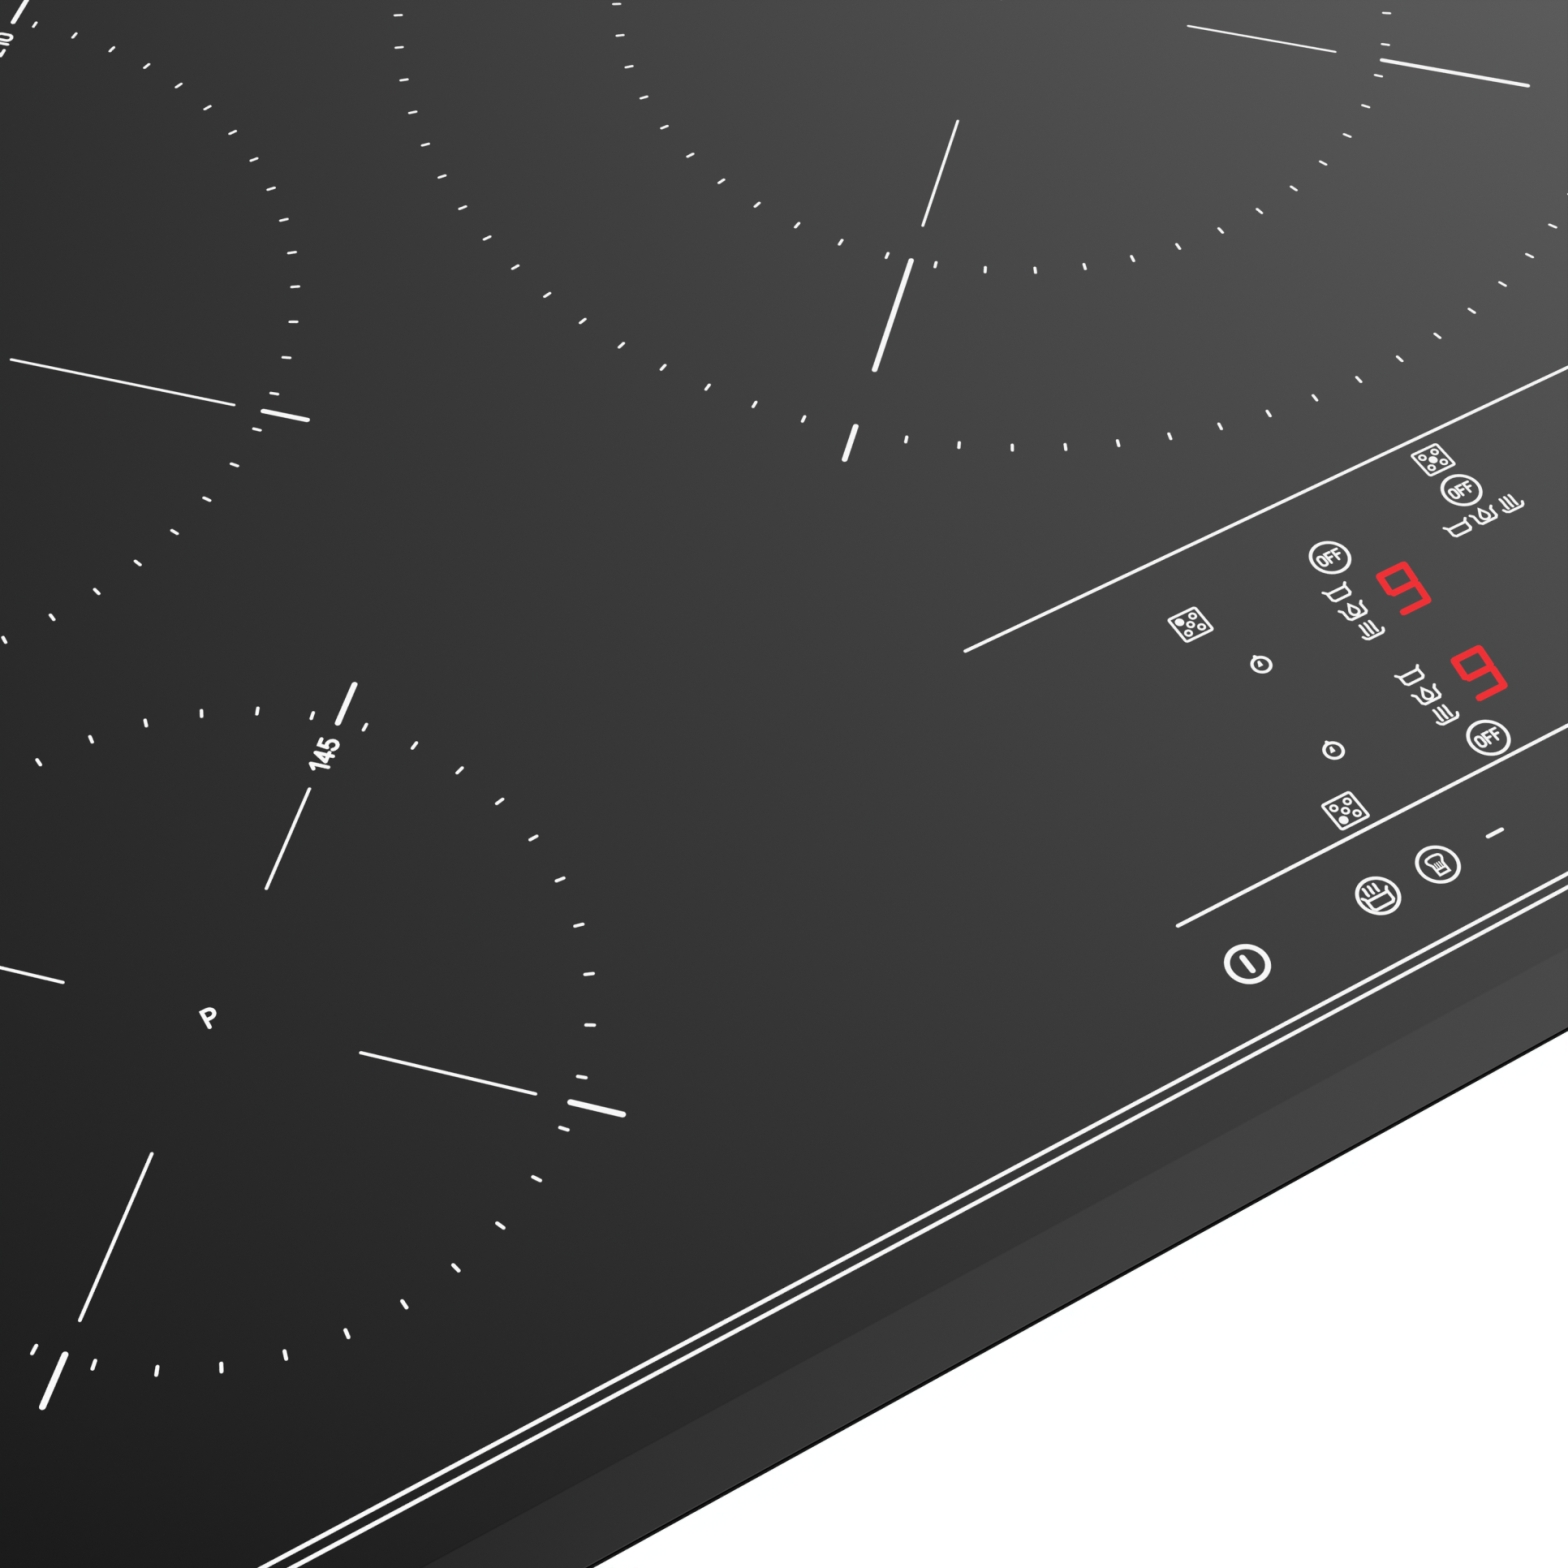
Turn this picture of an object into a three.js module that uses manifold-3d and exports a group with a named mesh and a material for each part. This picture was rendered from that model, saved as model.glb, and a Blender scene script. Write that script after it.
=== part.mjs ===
// Built-in electric induction cooktop with five cooking zones, modelled as its separate pieces.
// Millimetres, +Z up, +X to the cook's right, +Y to the back of the worktop.
// The origin is the centre of the glass outline at the level of the tray's underside.
import * as THREE from "three";
import { mergeVertices } from "three/addons/utils/BufferGeometryUtils.js";
import Module from "manifold-3d";

const wasm = await Module();
wasm.setup();

// ---- Driving dimensions ----
const GLASS = { width: 860, depth: 510, thickness: 4, corner: 6, arris: 0.5 };
const FACET = { depth: 13.5, drop: 2.6 }; // the ground slope along the front edge
const TRAY = { width: 820, depth: 470, corner: 5, sheet: 1, wallTop: 49.5, lip: 3 };
const SEAL = { width: 11, height: 2, inset: 0.3, gap: 0.25 };
const WORKTOP_Z = 50; // the worktop surface that the seal lies on
const GLASS_BOTTOM = WORKTOP_Z + SEAL.height;
const GLASS_TOP = GLASS_BOTTOM + GLASS.thickness;
const TRAY_X = TRAY.width / 2; // outer faces of the tray walls
const TRAY_Y = TRAY.depth / 2;

const SLOT_WIDTH = 3.6; // narrower than a finger or a rodent
const SLOT_PITCH = 8;
const EXHAUST = { slots: 20, length: 22, centreX: 285, centreY: -217 };
const INTAKE_RADIUS = 26;

const SCREW = { shank: 1.9, hole: 2.25, head: 3.6, headHeight: 2.2, length: 9, z: 44, x: 250 };
const BRACKET = { sheet: 1, gap: 0.5, flange: 10, bottom: 38, frontLength: 700, sideLength: 380 };

const COIL_SHEET = { z: 33, thickness: 1.25, tab: 14, foot: 8 }; // shelves on folded legs that carry the coils
const CARRIER = { bottom: 43.75, top: 46.5 };
const FERRITE = { bottom: 38.75, width: 13, count: 8, rim: 4, sunk: 1 };
const WINDING = { bottom: 46.75, top: 50.75 };
const MICA = { bottom: 51.125, top: 51.625, hole: 8 };
const SENSOR = { radius: 5, bottom: 42, top: 51.25, tail: 1 };
const CARRIER_HOLE = 6;
const CARRIER_HUB = 20; // no ferrite inside this radius
const SPRING = { span: 56, width: 12, sheet: 0.6, bottom: 34.5, top: 38.5 };

// Every cooking zone: centre, carrier radius and the inner and outer radii of its windings.
const ZONES = [
  { name: "front_left", x: -295.69, y: -120.17, carrier: 70, windings: [["", 24, 64]] },
  { name: "rear_left", x: -295.69, y: 95.26, carrier: 101, windings: [["", 30, 95]] },
  { name: "centre", x: 0, y: 55.24, carrier: 144, windings: [["_inner", 24, 82], ["_outer", 92, 137]] },
  { name: "front_right", x: 295.69, y: -102.7, carrier: 86, windings: [["", 24, 80]] },
  { name: "rear_right", x: 295.69, y: 110.3, carrier: 86, windings: [["", 24, 80]] },
];
const SHELVES = [
  { name: "left", x: [-405, -165], y: [-225, 225] },
  { name: "centre", x: [-155, 155], y: [-105, 225] },
  { name: "right", x: [165, 405], y: [-225, 225] },
];

const BOARD = { bottom: 7, top: 8.5, x: [156, 395], y: [-200, 84] }; // right hand board, mirrored for the left
const BOARD_POST = { radius: 3, insetX: 10, insetFront: 5, insetBack: 3 };
// What stands on the right hand board: each part's places, half length and top.
const CAPACITOR = { radius: 11, x: 226, y: [-170, -130, -90], top: 31 };
const CHOKE = { x: [215, 245], y: [-40, 20], half: 15, top: 29 };
const FILM_CAPACITOR = { x: [270, 286], y: [-160, -110, -60, -10], half: 18, top: 24 };
const RELAYS = { x: [320, 372], y: [-180, -140], top: 22 };
const LINE_FILTER = { x: [320, 372], y: [-120, -60], top: 27 };
const RING_CHOKE = { radius: 17, x: 340, y: 0, top: 26 };
const HEATSINK = { x: [158, 194], y: [-190, 78], base: 3, top: 30, fins: 6, fin: 1.5 };
// One fan blows along each board; its outlet duct runs from ductEdge to the side of the round.
const FAN = { x: 200, y: 150, bottom: 3, top: 27, radius: 44, wall: 2.5, cover: 1.5, outlet: 62, ductEdge: 4 };
const FAN_FOOT = { radius: 4, reach: 39, angles: [45, 135, 225, 315] };
const ROTOR = { bottom: 9, top: 23, radius: 34, hub: 16, cup: 13.6, floor: 2.4, disc: 1.5, blades: 14 };
const VANE = { length: 12, thickness: 1, lean: 35, centre: 28.5 }; // leaning forward, as a blower's vanes do
const MOTOR = { radius: 13, bottom: 12, shaft: 1.5, bore: 1.6 };

const PANEL = { x: 120, y: [-222, -118], floor: 40, rim: 51.5, wall: 2, board: [43, 44.5], parts: 51.25 };
const PANEL_LEG = { radius: 5, inset: 8 };
const PANEL_REST = { half: 3, places: [-60, 0, 60] }; // ribs that the touch board lies on
const DISPLAY = { x: 27.6, y: [-151, -177.6], width: 14, depth: 18 }; // a digit for each outer zone
const TOUCH_KEY = { x: [50, 65, 80, 112], y: -212.4, radius: 4.5 }; // the front row, mirrored about the middle

// The terminal box has a frame outside the back wall, with an ear at each end that holds the cover's pins.
const TERMINAL = { x: [294, 366], y: [200, 235], z: [6, 30], wall: 2, frame: 6, faceStart: 0.25, face: 2 };
const EAR = { width: 3, z: [3, 9], past: 2.5 };
const COVER = { gap: 0.4, start: 2.75, sheet: 2, pin: 1.2, bore: 1.45, axisY: 239.3, axisZ: 6, top: 33 };
const COVER_PIN_REACH = 2.5; // how far each pin goes into its ear
const KNOCKOUT = { z: 19, outer: 8.5, inner: 7.7, depth: 0.8 }; // the ring pressed in for the supply lead
const TERMINAL_BLOCK = { x: [300, 360], y: [203, 217], z: [8.25, 21], ways: 6, well: 2.6, wellDepth: 5 };

// A clip leaves the wall at its bend, swells out to its peak and comes back by its fold to its tip.
const CLIP = {
  y: 120, width: 16, sheet: 0.8, reach: 11.5, fold: 5.5,
  footBottom: 12, bend: 20, peak: 38, tip: 46,
};
const CLIP_SLANT = { inner: 1.1, drop: 0.4 }; // how the sheet's inner face differs along its slopes

const FINE = 36; // sides of a large round
const MEDIUM = 20;
const COARSE = 12;

// ---- Materials ----
function finish(colour, roughness, metalness) {
  return new THREE.MeshStandardMaterial({ color: colour, roughness, metalness });
}
const FINISH = {
  blackGlass: finish("#1c1c1e", 0.12, 0),
  foam: finish("#202124", 0.95, 0),
  zincSteel: finish("#a9adb0", 0.45, 0.9),
  springSteel: finish("#8f9296", 0.3, 1),
  zincScrew: finish("#c4c7c9", 0.3, 1),
  aluminium: finish("#c9ccce", 0.4, 1),
  copper: finish("#a65a33", 0.35, 0.9),
  coilPlastic: finish("#3b3632", 0.7, 0),
  mica: finish("#b9a98a", 0.6, 0),
  silicone: finish("#d9d9d4", 0.6, 0),
  circuitBoard: finish("#1f5b3a", 0.5, 0),
  blackPlastic: finish("#1d1e20", 0.55, 0),
  whitePlastic: finish("#e6e4dd", 0.55, 0),
};

// ---- Solids ----
function solidOf(geometry) {
  geometry.deleteAttribute("normal");
  geometry.deleteAttribute("uv");
  const merged = mergeVertices(geometry, 1e-4);
  return new wasm.Manifold(new wasm.Mesh({
    numProp: 3,
    vertProperties: new Float32Array(merged.attributes.position.array),
    triVerts: new Uint32Array(merged.index.array),
  }));
}

function geometryOf(solid) {
  const mesh = solid.getMesh();
  const geometry = new THREE.BufferGeometry();
  geometry.setAttribute("position", new THREE.BufferAttribute(new Float32Array(mesh.vertProperties), 3));
  geometry.setIndex(new THREE.BufferAttribute(new Uint32Array(mesh.triVerts), 1));
  geometry.computeVertexNormals();
  return geometry;
}

function join(first, ...others) {
  return others.reduce((sum, next) => sum.add(next), first);
}

function cut(first, ...others) {
  return others.reduce((rest, next) => rest.subtract(next), first);
}

function block([x0, x1], [y0, y1], [z0, z1]) {
  const geometry = new THREE.BoxGeometry(x1 - x0, y1 - y0, z1 - z0);
  geometry.translate((x0 + x1) / 2, (y0 + y1) / 2, (z0 + z1) / 2);
  return solidOf(geometry);
}

function upright(radius, [z0, z1], x = 0, y = 0, sides = MEDIUM) {
  const geometry = new THREE.CylinderGeometry(radius, radius, z1 - z0, sides);
  geometry.rotateX(Math.PI / 2);
  geometry.translate(x, y, (z0 + z1) / 2);
  return solidOf(geometry);
}

function alongX(radius, [x0, x1], y, z, sides = COARSE) {
  const geometry = new THREE.CylinderGeometry(radius, radius, x1 - x0, sides);
  geometry.rotateZ(Math.PI / 2);
  geometry.translate((x0 + x1) / 2, y, z);
  return solidOf(geometry);
}

function alongY(radius, [y0, y1], x, z, sides = COARSE) {
  const geometry = new THREE.CylinderGeometry(radius, radius, y1 - y0, sides);
  geometry.translate(x, (y0 + y1) / 2, z);
  return solidOf(geometry);
}

// A ring about Z with a rectangular section.
function ring(inner, outer, [z0, z1], sides = FINE) {
  const section = [[inner, z0], [outer, z0], [outer, z1], [inner, z1], [inner, z0]];
  const geometry = new THREE.LatheGeometry(section.map(([r, z]) => new THREE.Vector2(r, z)), sides);
  geometry.rotateX(Math.PI / 2);
  return solidOf(geometry);
}

function outline(points) {
  return new THREE.Shape(points.map(([a, b]) => new THREE.Vector2(a, b)));
}

// A profile of (y, z) points drawn out along X.
function profileAlongX(points, [x0, x1]) {
  const geometry = new THREE.ExtrudeGeometry(outline(points), { depth: x1 - x0, bevelEnabled: false });
  const turn = new THREE.Matrix4().makeBasis(
    new THREE.Vector3(0, 1, 0),
    new THREE.Vector3(0, 0, 1),
    new THREE.Vector3(1, 0, 0),
  );
  geometry.applyMatrix4(turn);
  geometry.translate(x0, 0, 0);
  return solidOf(geometry);
}

// A profile of (x, z) points drawn out along Y.
function profileAlongY(points, [y0, y1]) {
  const geometry = new THREE.ExtrudeGeometry(outline(points), { depth: y1 - y0, bevelEnabled: false });
  geometry.rotateX(Math.PI / 2);
  geometry.translate(0, y1, 0);
  return solidOf(geometry);
}

function roundedRectangle(width, depth, radius) {
  const x = width / 2;
  const y = depth / 2;
  const shape = new THREE.Shape();
  shape.moveTo(-x + radius, -y);
  shape.lineTo(x - radius, -y);
  shape.absarc(x - radius, -y + radius, radius, -Math.PI / 2, 0, false);
  shape.lineTo(x, y - radius);
  shape.absarc(x - radius, y - radius, radius, 0, Math.PI / 2, false);
  shape.lineTo(-x + radius, y);
  shape.absarc(-x + radius, y - radius, radius, Math.PI / 2, Math.PI, false);
  shape.lineTo(-x, -y + radius);
  shape.absarc(-x + radius, -y + radius, radius, Math.PI, Math.PI * 1.5, false);
  return shape;
}

function slab(width, depth, radius, [z0, z1]) {
  const shape = roundedRectangle(width, depth, radius);
  const geometry = new THREE.ExtrudeGeometry(shape, {
    depth: z1 - z0,
    bevelEnabled: false,
    curveSegments: 5,
  });
  geometry.translate(0, 0, z0);
  return solidOf(geometry);
}

const cooktop = new THREE.Group();

function addPiece(name, solid, material, parent = cooktop) {
  const mesh = new THREE.Mesh(geometryOf(solid), material);
  mesh.name = name;
  parent.add(mesh);
  return mesh;
}

const SIDES = [["left", -1], ["right", 1]];
const mirrored = (range, side) => (side > 0 ? range : [-range[1], -range[0]]);

// ---- Glass and seal ----
function glassTop() {
  const { width, depth, thickness, corner, arris } = GLASS;
  const geometry = new THREE.ExtrudeGeometry(roundedRectangle(width, depth, corner), {
    depth: thickness - 2 * arris,
    bevelThickness: arris,
    bevelSize: arris,
    bevelOffset: -arris,
    bevelSegments: 1,
    curveSegments: 6,
  });
  geometry.translate(0, 0, GLASS_BOTTOM + arris);
  const slope = FACET.drop / FACET.depth;
  const inner = -depth / 2 + FACET.depth;
  const reach = (back) => [inner + back, GLASS_TOP + back * slope];
  const past = FACET.depth + 4;
  const wedge = profileAlongX(
    [reach(past), reach(-past), [inner - past, GLASS_TOP + past * slope]],
    [-width / 2 - 1, width / 2 + 1],
  );
  return cut(solidOf(geometry), wedge);
}

function addSeals() {
  const x = GLASS.width / 2 - SEAL.inset;
  const y = GLASS.depth / 2 - SEAL.inset;
  const height = [WORKTOP_Z, GLASS_BOTTOM];
  const { width } = SEAL;
  addPiece("seal_front", block([-x, x], [-y, -y + width], height), FINISH.foam);
  addPiece("seal_back", block([-x, x], [y - width, y], height), FINISH.foam);
  const between = [-y + width + SEAL.gap, y - width - SEAL.gap];
  for (const [name, side] of SIDES)
    addPiece(`seal_${name}`, block(mirrored([x - width, x], side), between, height), FINISH.foam);
}

// ---- Tray ----
function slotAlongY(x, y, length) {
  return block([x - SLOT_WIDTH / 2, x + SLOT_WIDTH / 2], [y - length / 2, y + length / 2], [-1, 2]);
}

function exhaustSlots(side) {
  const first = side * EXHAUST.centreX - ((EXHAUST.slots - 1) * SLOT_PITCH) / 2;
  return Array.from({ length: EXHAUST.slots }, (_, i) =>
    slotAlongY(first + i * SLOT_PITCH, EXHAUST.centreY, EXHAUST.length));
}

function intakeSlots(side) {
  const reach = Math.floor(INTAKE_RADIUS / SLOT_PITCH);
  return Array.from({ length: 2 * reach + 1 }, (_, i) => {
    const off = (i - reach) * SLOT_PITCH;
    const length = 2 * Math.sqrt(INTAKE_RADIUS ** 2 - off ** 2);
    return slotAlongY(side * FAN.x + off, FAN.y, length);
  });
}

function bottomTray() {
  const { width, depth, corner, sheet, wallTop, lip } = TRAY;
  const shell = join(
    slab(width, depth, corner, [0, wallTop]),
    slab(width + 2 * lip, depth + 2 * lip, corner + lip, [wallTop - sheet, wallTop]),
  );
  const hollow = slab(width - 2 * sheet, depth - 2 * sheet, corner - sheet, [sheet, wallTop + 1]);
  const terminalWindow = block(
    [TERMINAL.x[0] - COVER.gap, TERMINAL.x[1] + COVER.gap],
    [TRAY_Y - 5, TRAY_Y + 5],
    [TERMINAL.z[0] - COVER.gap, TERMINAL.z[1] + COVER.gap],
  );
  const screwHoles = SIDES.map(([, side]) =>
    alongY(SCREW.hole, [-TRAY_Y - 5, TRAY_Y + 5], side * SCREW.x, SCREW.z));
  const slots = SIDES.flatMap(([, side]) => [...exhaustSlots(side), ...intakeSlots(side)]);
  return cut(shell, hollow, terminalWindow, ...screwHoles, ...slots);
}

// ---- Brackets bonded under the glass, and the screws that hold the tray to them ----
function angleProfile(wall) {
  const outer = wall - TRAY.sheet - BRACKET.gap;
  const inner = outer - BRACKET.sheet;
  const tip = outer - BRACKET.flange;
  const under = GLASS_BOTTOM - BRACKET.sheet;
  return [
    [outer, BRACKET.bottom],
    [outer, GLASS_BOTTOM],
    [tip, GLASS_BOTTOM],
    [tip, under],
    [inner, under],
    [inner, BRACKET.bottom],
  ];
}

function addBrackets() {
  const flip = (points, side) => points.map(([a, z]) => [side * a, z]);
  const half = BRACKET.frontLength / 2;
  const holes = SIDES.map(([, side]) =>
    alongY(SCREW.hole, [-TRAY_Y, TRAY_Y], side * SCREW.x, SCREW.z));
  for (const [name, side] of [["front", -1], ["back", 1]]) {
    const angle = profileAlongX(flip(angleProfile(TRAY_Y), side), [-half, half]);
    addPiece(`glass_bracket_${name}`, cut(angle, ...holes), FINISH.zincSteel);
  }
  const reach = BRACKET.sideLength / 2;
  for (const [name, side] of SIDES) {
    const angle = profileAlongY(flip(angleProfile(TRAY_X), side), [-reach, reach]);
    addPiece(`glass_bracket_${name}`, angle, FINISH.zincSteel);
  }
}

function addScrews() {
  for (const [end, back] of [["front", -1], ["back", 1]]) {
    for (const [name, side] of SIDES) {
      const seat = TRAY_Y + 0.25;
      const shank = mirrored([seat - SCREW.length, seat + 0.5], back);
      const head = mirrored([seat, seat + SCREW.headHeight], back);
      const screw = join(
        alongY(SCREW.shank, shank, side * SCREW.x, SCREW.z),
        alongY(SCREW.head, head, side * SCREW.x, SCREW.z),
      );
      addPiece(`tray_screw_${end}_${name}`, screw, FINISH.zincScrew);
    }
  }
}

// ---- Shelves and coils ----
function coilShelf({ x, y }) {
  const { z, thickness, tab, foot } = COIL_SHEET;
  const legs = [];
  for (const x0 of [x[0], x[1] - tab]) {
    for (const [edge, inward] of [[y[0], 1], [y[1], -1]]) {
      const along = (reach) => [Math.min(edge, edge + inward * reach), Math.max(edge, edge + inward * reach)];
      legs.push(block([x0, x0 + tab], along(thickness), [TRAY.sheet, z + thickness]));
      legs.push(block([x0, x0 + tab], along(foot), [TRAY.sheet, TRAY.sheet + thickness]));
    }
  }
  return join(block(x, y, [z, z + thickness]), ...legs);
}

function coilCarrier(radius) {
  const disc = ring(CARRIER_HOLE, radius, [CARRIER.bottom, CARRIER.top]);
  const tip = radius - FERRITE.rim;
  const top = CARRIER.bottom + FERRITE.sunk;
  const bars = [];
  for (let i = 0; i < FERRITE.count; i++) {
    const bar = new THREE.BoxGeometry(tip - CARRIER_HUB, FERRITE.width, top - FERRITE.bottom);
    bar.translate((tip + CARRIER_HUB) / 2, 0, (top + FERRITE.bottom) / 2);
    bar.rotateZ((i * 2 * Math.PI) / FERRITE.count);
    bars.push(solidOf(bar));
  }
  return join(disc, ...bars);
}

function temperatureSensor() {
  const collar = upright(SENSOR.radius, [SENSOR.bottom, SENSOR.top], 0, 0, COARSE);
  const tail = upright(SENSOR.radius / 2, [SENSOR.bottom - SENSOR.tail, SENSOR.bottom + 1], 0, 0, COARSE);
  return join(collar, tail);
}

// A bow of spring strip: two arcs of one centre, closed at the ends.
function coilSpring() {
  const half = SPRING.span / 2;
  const rise = SPRING.top - SPRING.bottom - SPRING.sheet;
  const radius = (half * half + rise * rise) / (2 * rise);
  const centre = SPRING.top - SPRING.sheet - radius;
  const spread = Math.asin(half / radius);
  const shape = new THREE.Shape();
  shape.absarc(0, centre, radius + SPRING.sheet, Math.PI / 2 - spread, Math.PI / 2 + spread, false);
  shape.absarc(0, centre, radius, Math.PI / 2 + spread, Math.PI / 2 - spread, true);
  const geometry = new THREE.ExtrudeGeometry(shape, {
    depth: SPRING.width,
    bevelEnabled: false,
    curveSegments: 6,
  });
  geometry.rotateX(Math.PI / 2);
  geometry.translate(0, SPRING.width / 2, 0);
  return solidOf(geometry);
}

function addCoils() {
  for (const shelf of SHELVES)
    addPiece(`coil_shelf_${shelf.name}`, coilShelf(shelf), FINISH.aluminium);
  for (const zone of ZONES) {
    const place = new THREE.Group();
    place.position.set(zone.x, zone.y, 0);
    cooktop.add(place);
    for (const [which, inner, outer] of zone.windings) {
      const winding = ring(inner, outer, [WINDING.bottom, WINDING.top]);
      addPiece(`coil_winding_${zone.name}${which}`, winding, FINISH.copper, place);
    }
    addPiece(`coil_carrier_${zone.name}`, coilCarrier(zone.carrier), FINISH.coilPlastic, place);
    const mica = ring(MICA.hole, zone.carrier, [MICA.bottom, MICA.top]);
    addPiece(`mica_sheet_${zone.name}`, mica, FINISH.mica, place);
    addPiece(`temperature_sensor_${zone.name}`, temperatureSensor(), FINISH.silicone, place);
    addPiece(`coil_spring_${zone.name}`, coilSpring(), FINISH.springSteel, place);
  }
}

// ---- Electronics ----
function powerBoard(side) {
  const board = block(mirrored(BOARD.x, side), BOARD.y, [BOARD.bottom, BOARD.top]);
  const low = BOARD.top - 0.5;
  const { insetX, insetFront, insetBack } = BOARD_POST;
  const pieces = [];
  for (const x of [BOARD.x[0] + insetX, BOARD.x[1] - insetX])
    for (const y of [BOARD.y[0] + insetFront, BOARD.y[1] - insetBack])
      pieces.push(upright(BOARD_POST.radius, [TRAY.sheet, BOARD.bottom + 0.5], side * x, y, COARSE));
  for (const y of CAPACITOR.y)
    pieces.push(upright(CAPACITOR.radius, [low, CAPACITOR.top], side * CAPACITOR.x, y, MEDIUM));
  for (const { x, y, half, top } of [CHOKE, FILM_CAPACITOR])
    for (const middle of y)
      pieces.push(block(mirrored(x, side), [middle - half, middle + half], [low, top]));
  for (const { x, y, top } of [RELAYS, LINE_FILTER])
    pieces.push(block(mirrored(x, side), y, [low, top]));
  pieces.push(upright(RING_CHOKE.radius, [low, RING_CHOKE.top], side * RING_CHOKE.x, RING_CHOKE.y, MEDIUM));
  return join(board, ...pieces);
}

function heatsink(side) {
  const { x, y, base, top, fins, fin } = HEATSINK;
  const foot = block(mirrored(x, side), y, [BOARD.top, BOARD.top + base]);
  const step = (x[1] - x[0] - fin) / (fins - 1);
  const plates = Array.from({ length: fins }, (_, i) =>
    block(mirrored([x[0] + i * step, x[0] + i * step + fin], side), y, [BOARD.top + 1, top]));
  return join(foot, ...plates);
}

function fanHousing(side) {
  const { radius, wall, cover, bottom, top, outlet, ductEdge } = FAN;
  const duct = mirrored([-radius, -ductEdge], side);
  const inside = mirrored([-radius + wall, -ductEdge - wall], side);
  const outer = join(
    upright(radius, [bottom, top], 0, 0, FINE),
    block(duct, [-outlet, 0], [bottom, top]),
  );
  const hollow = join(
    upright(radius - wall, [bottom + cover, top - cover], 0, 0, FINE),
    block(inside, [-outlet - 5, 0], [bottom + cover, top - cover]),
    upright(INTAKE_RADIUS, [bottom - 1, bottom + cover + 1], 0, 0, FINE),
  );
  const motor = join(
    upright(MOTOR.radius, [MOTOR.bottom, top - 0.5], 0, 0, MEDIUM),
    upright(MOTOR.shaft, [ROTOR.bottom - 1, MOTOR.bottom + 1], 0, 0, COARSE),
  );
  const feet = FAN_FOOT.angles.map((angle) => {
    const turn = THREE.MathUtils.degToRad(angle);
    const [x, y] = [FAN_FOOT.reach * Math.cos(turn), FAN_FOOT.reach * Math.sin(turn)];
    return upright(FAN_FOOT.radius, [TRAY.sheet, bottom + 0.5], x, y, COARSE);
  });
  return join(cut(outer, hollow), motor, ...feet);
}

function fanImpeller() {
  const { bottom, top, radius, hub, cup, floor, disc, blades } = ROTOR;
  const body = cut(
    join(upright(hub, [bottom, top], 0, 0, MEDIUM), ring(hub - 1, radius, [bottom, bottom + disc], FINE)),
    upright(cup, [bottom + floor, top + 1], 0, 0, MEDIUM),
    upright(MOTOR.bore, [bottom - 1, bottom + floor + 1], 0, 0, COARSE),
  );
  const vanes = [];
  for (let i = 0; i < blades; i++) {
    const vane = new THREE.BoxGeometry(VANE.length, VANE.thickness, top - bottom - 0.5);
    vane.rotateZ(THREE.MathUtils.degToRad(VANE.lean));
    vane.translate(VANE.centre, 0, (top + bottom + 0.5) / 2);
    vane.rotateZ((i * 2 * Math.PI) / blades);
    vanes.push(solidOf(vane));
  }
  return join(body, ...vanes);
}

function touchBoardHolder() {
  const { x, y, floor, rim, wall } = PANEL;
  const { radius, inset } = PANEL_LEG;
  const outer = block([-x, x], y, [floor, rim]);
  const inner = block([-x + wall, x - wall], [y[0] + wall, y[1] - wall], [floor + wall, rim + 1]);
  const legs = [];
  for (const cx of [-x + inset, x - inset])
    for (const cy of [y[0] + inset, y[1] - inset])
      legs.push(upright(radius, [TRAY.sheet, floor + 1], cx, cy, COARSE));
  const rests = PANEL_REST.places.map((cx) =>
    block([cx - PANEL_REST.half, cx + PANEL_REST.half], [y[0] + 1, y[1] - 1], [floor + 1, PANEL.board[0]]));
  return join(cut(outer, inner), ...legs, ...rests);
}

function touchBoard() {
  const { x, y, board, wall } = PANEL;
  const clear = wall + 0.5;
  const sheet = block([-x + clear, x - clear], [y[0] + clear, y[1] - clear], board);
  const height = [board[1] - 0.5, PANEL.parts];
  const pieces = [];
  for (const [, side] of SIDES) {
    const across = side * DISPLAY.x;
    for (const cy of DISPLAY.y) {
      const wide = [across - DISPLAY.width / 2, across + DISPLAY.width / 2];
      pieces.push(block(wide, [cy - DISPLAY.depth / 2, cy + DISPLAY.depth / 2], height));
    }
    for (const cx of TOUCH_KEY.x)
      pieces.push(upright(TOUCH_KEY.radius, height, side * cx, TOUCH_KEY.y, COARSE));
  }
  return join(sheet, ...pieces);
}

// ---- Mains terminals, behind a hinged cover in the back wall ----
function terminalBox() {
  const { x, y, z, wall, frame, faceStart, face } = TERMINAL;
  const front = [TRAY_Y + faceStart, TRAY_Y + faceStart + face];
  const ear = [front[1] - 0.25, COVER.axisY + EAR.past];
  const outer = join(
    block(x, [y[0], front[1]], z),
    block([x[0] - frame, x[1] + frame], front, [z[0] - 3, z[1] + 3]),
    block([x[0] - frame, x[0] - frame + EAR.width], ear, EAR.z),
    block([x[1] + frame - EAR.width, x[1] + frame], ear, EAR.z),
  );
  const hollow = block([x[0] + wall, x[1] - wall], [y[0] + wall, front[1] + 1], [z[0] + wall, z[1] - wall]);
  const bore = alongX(COVER.bore, [x[0] - frame - 1, x[1] + frame + 1], COVER.axisY, COVER.axisZ, 16);
  return cut(outer, hollow, bore);
}

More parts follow.
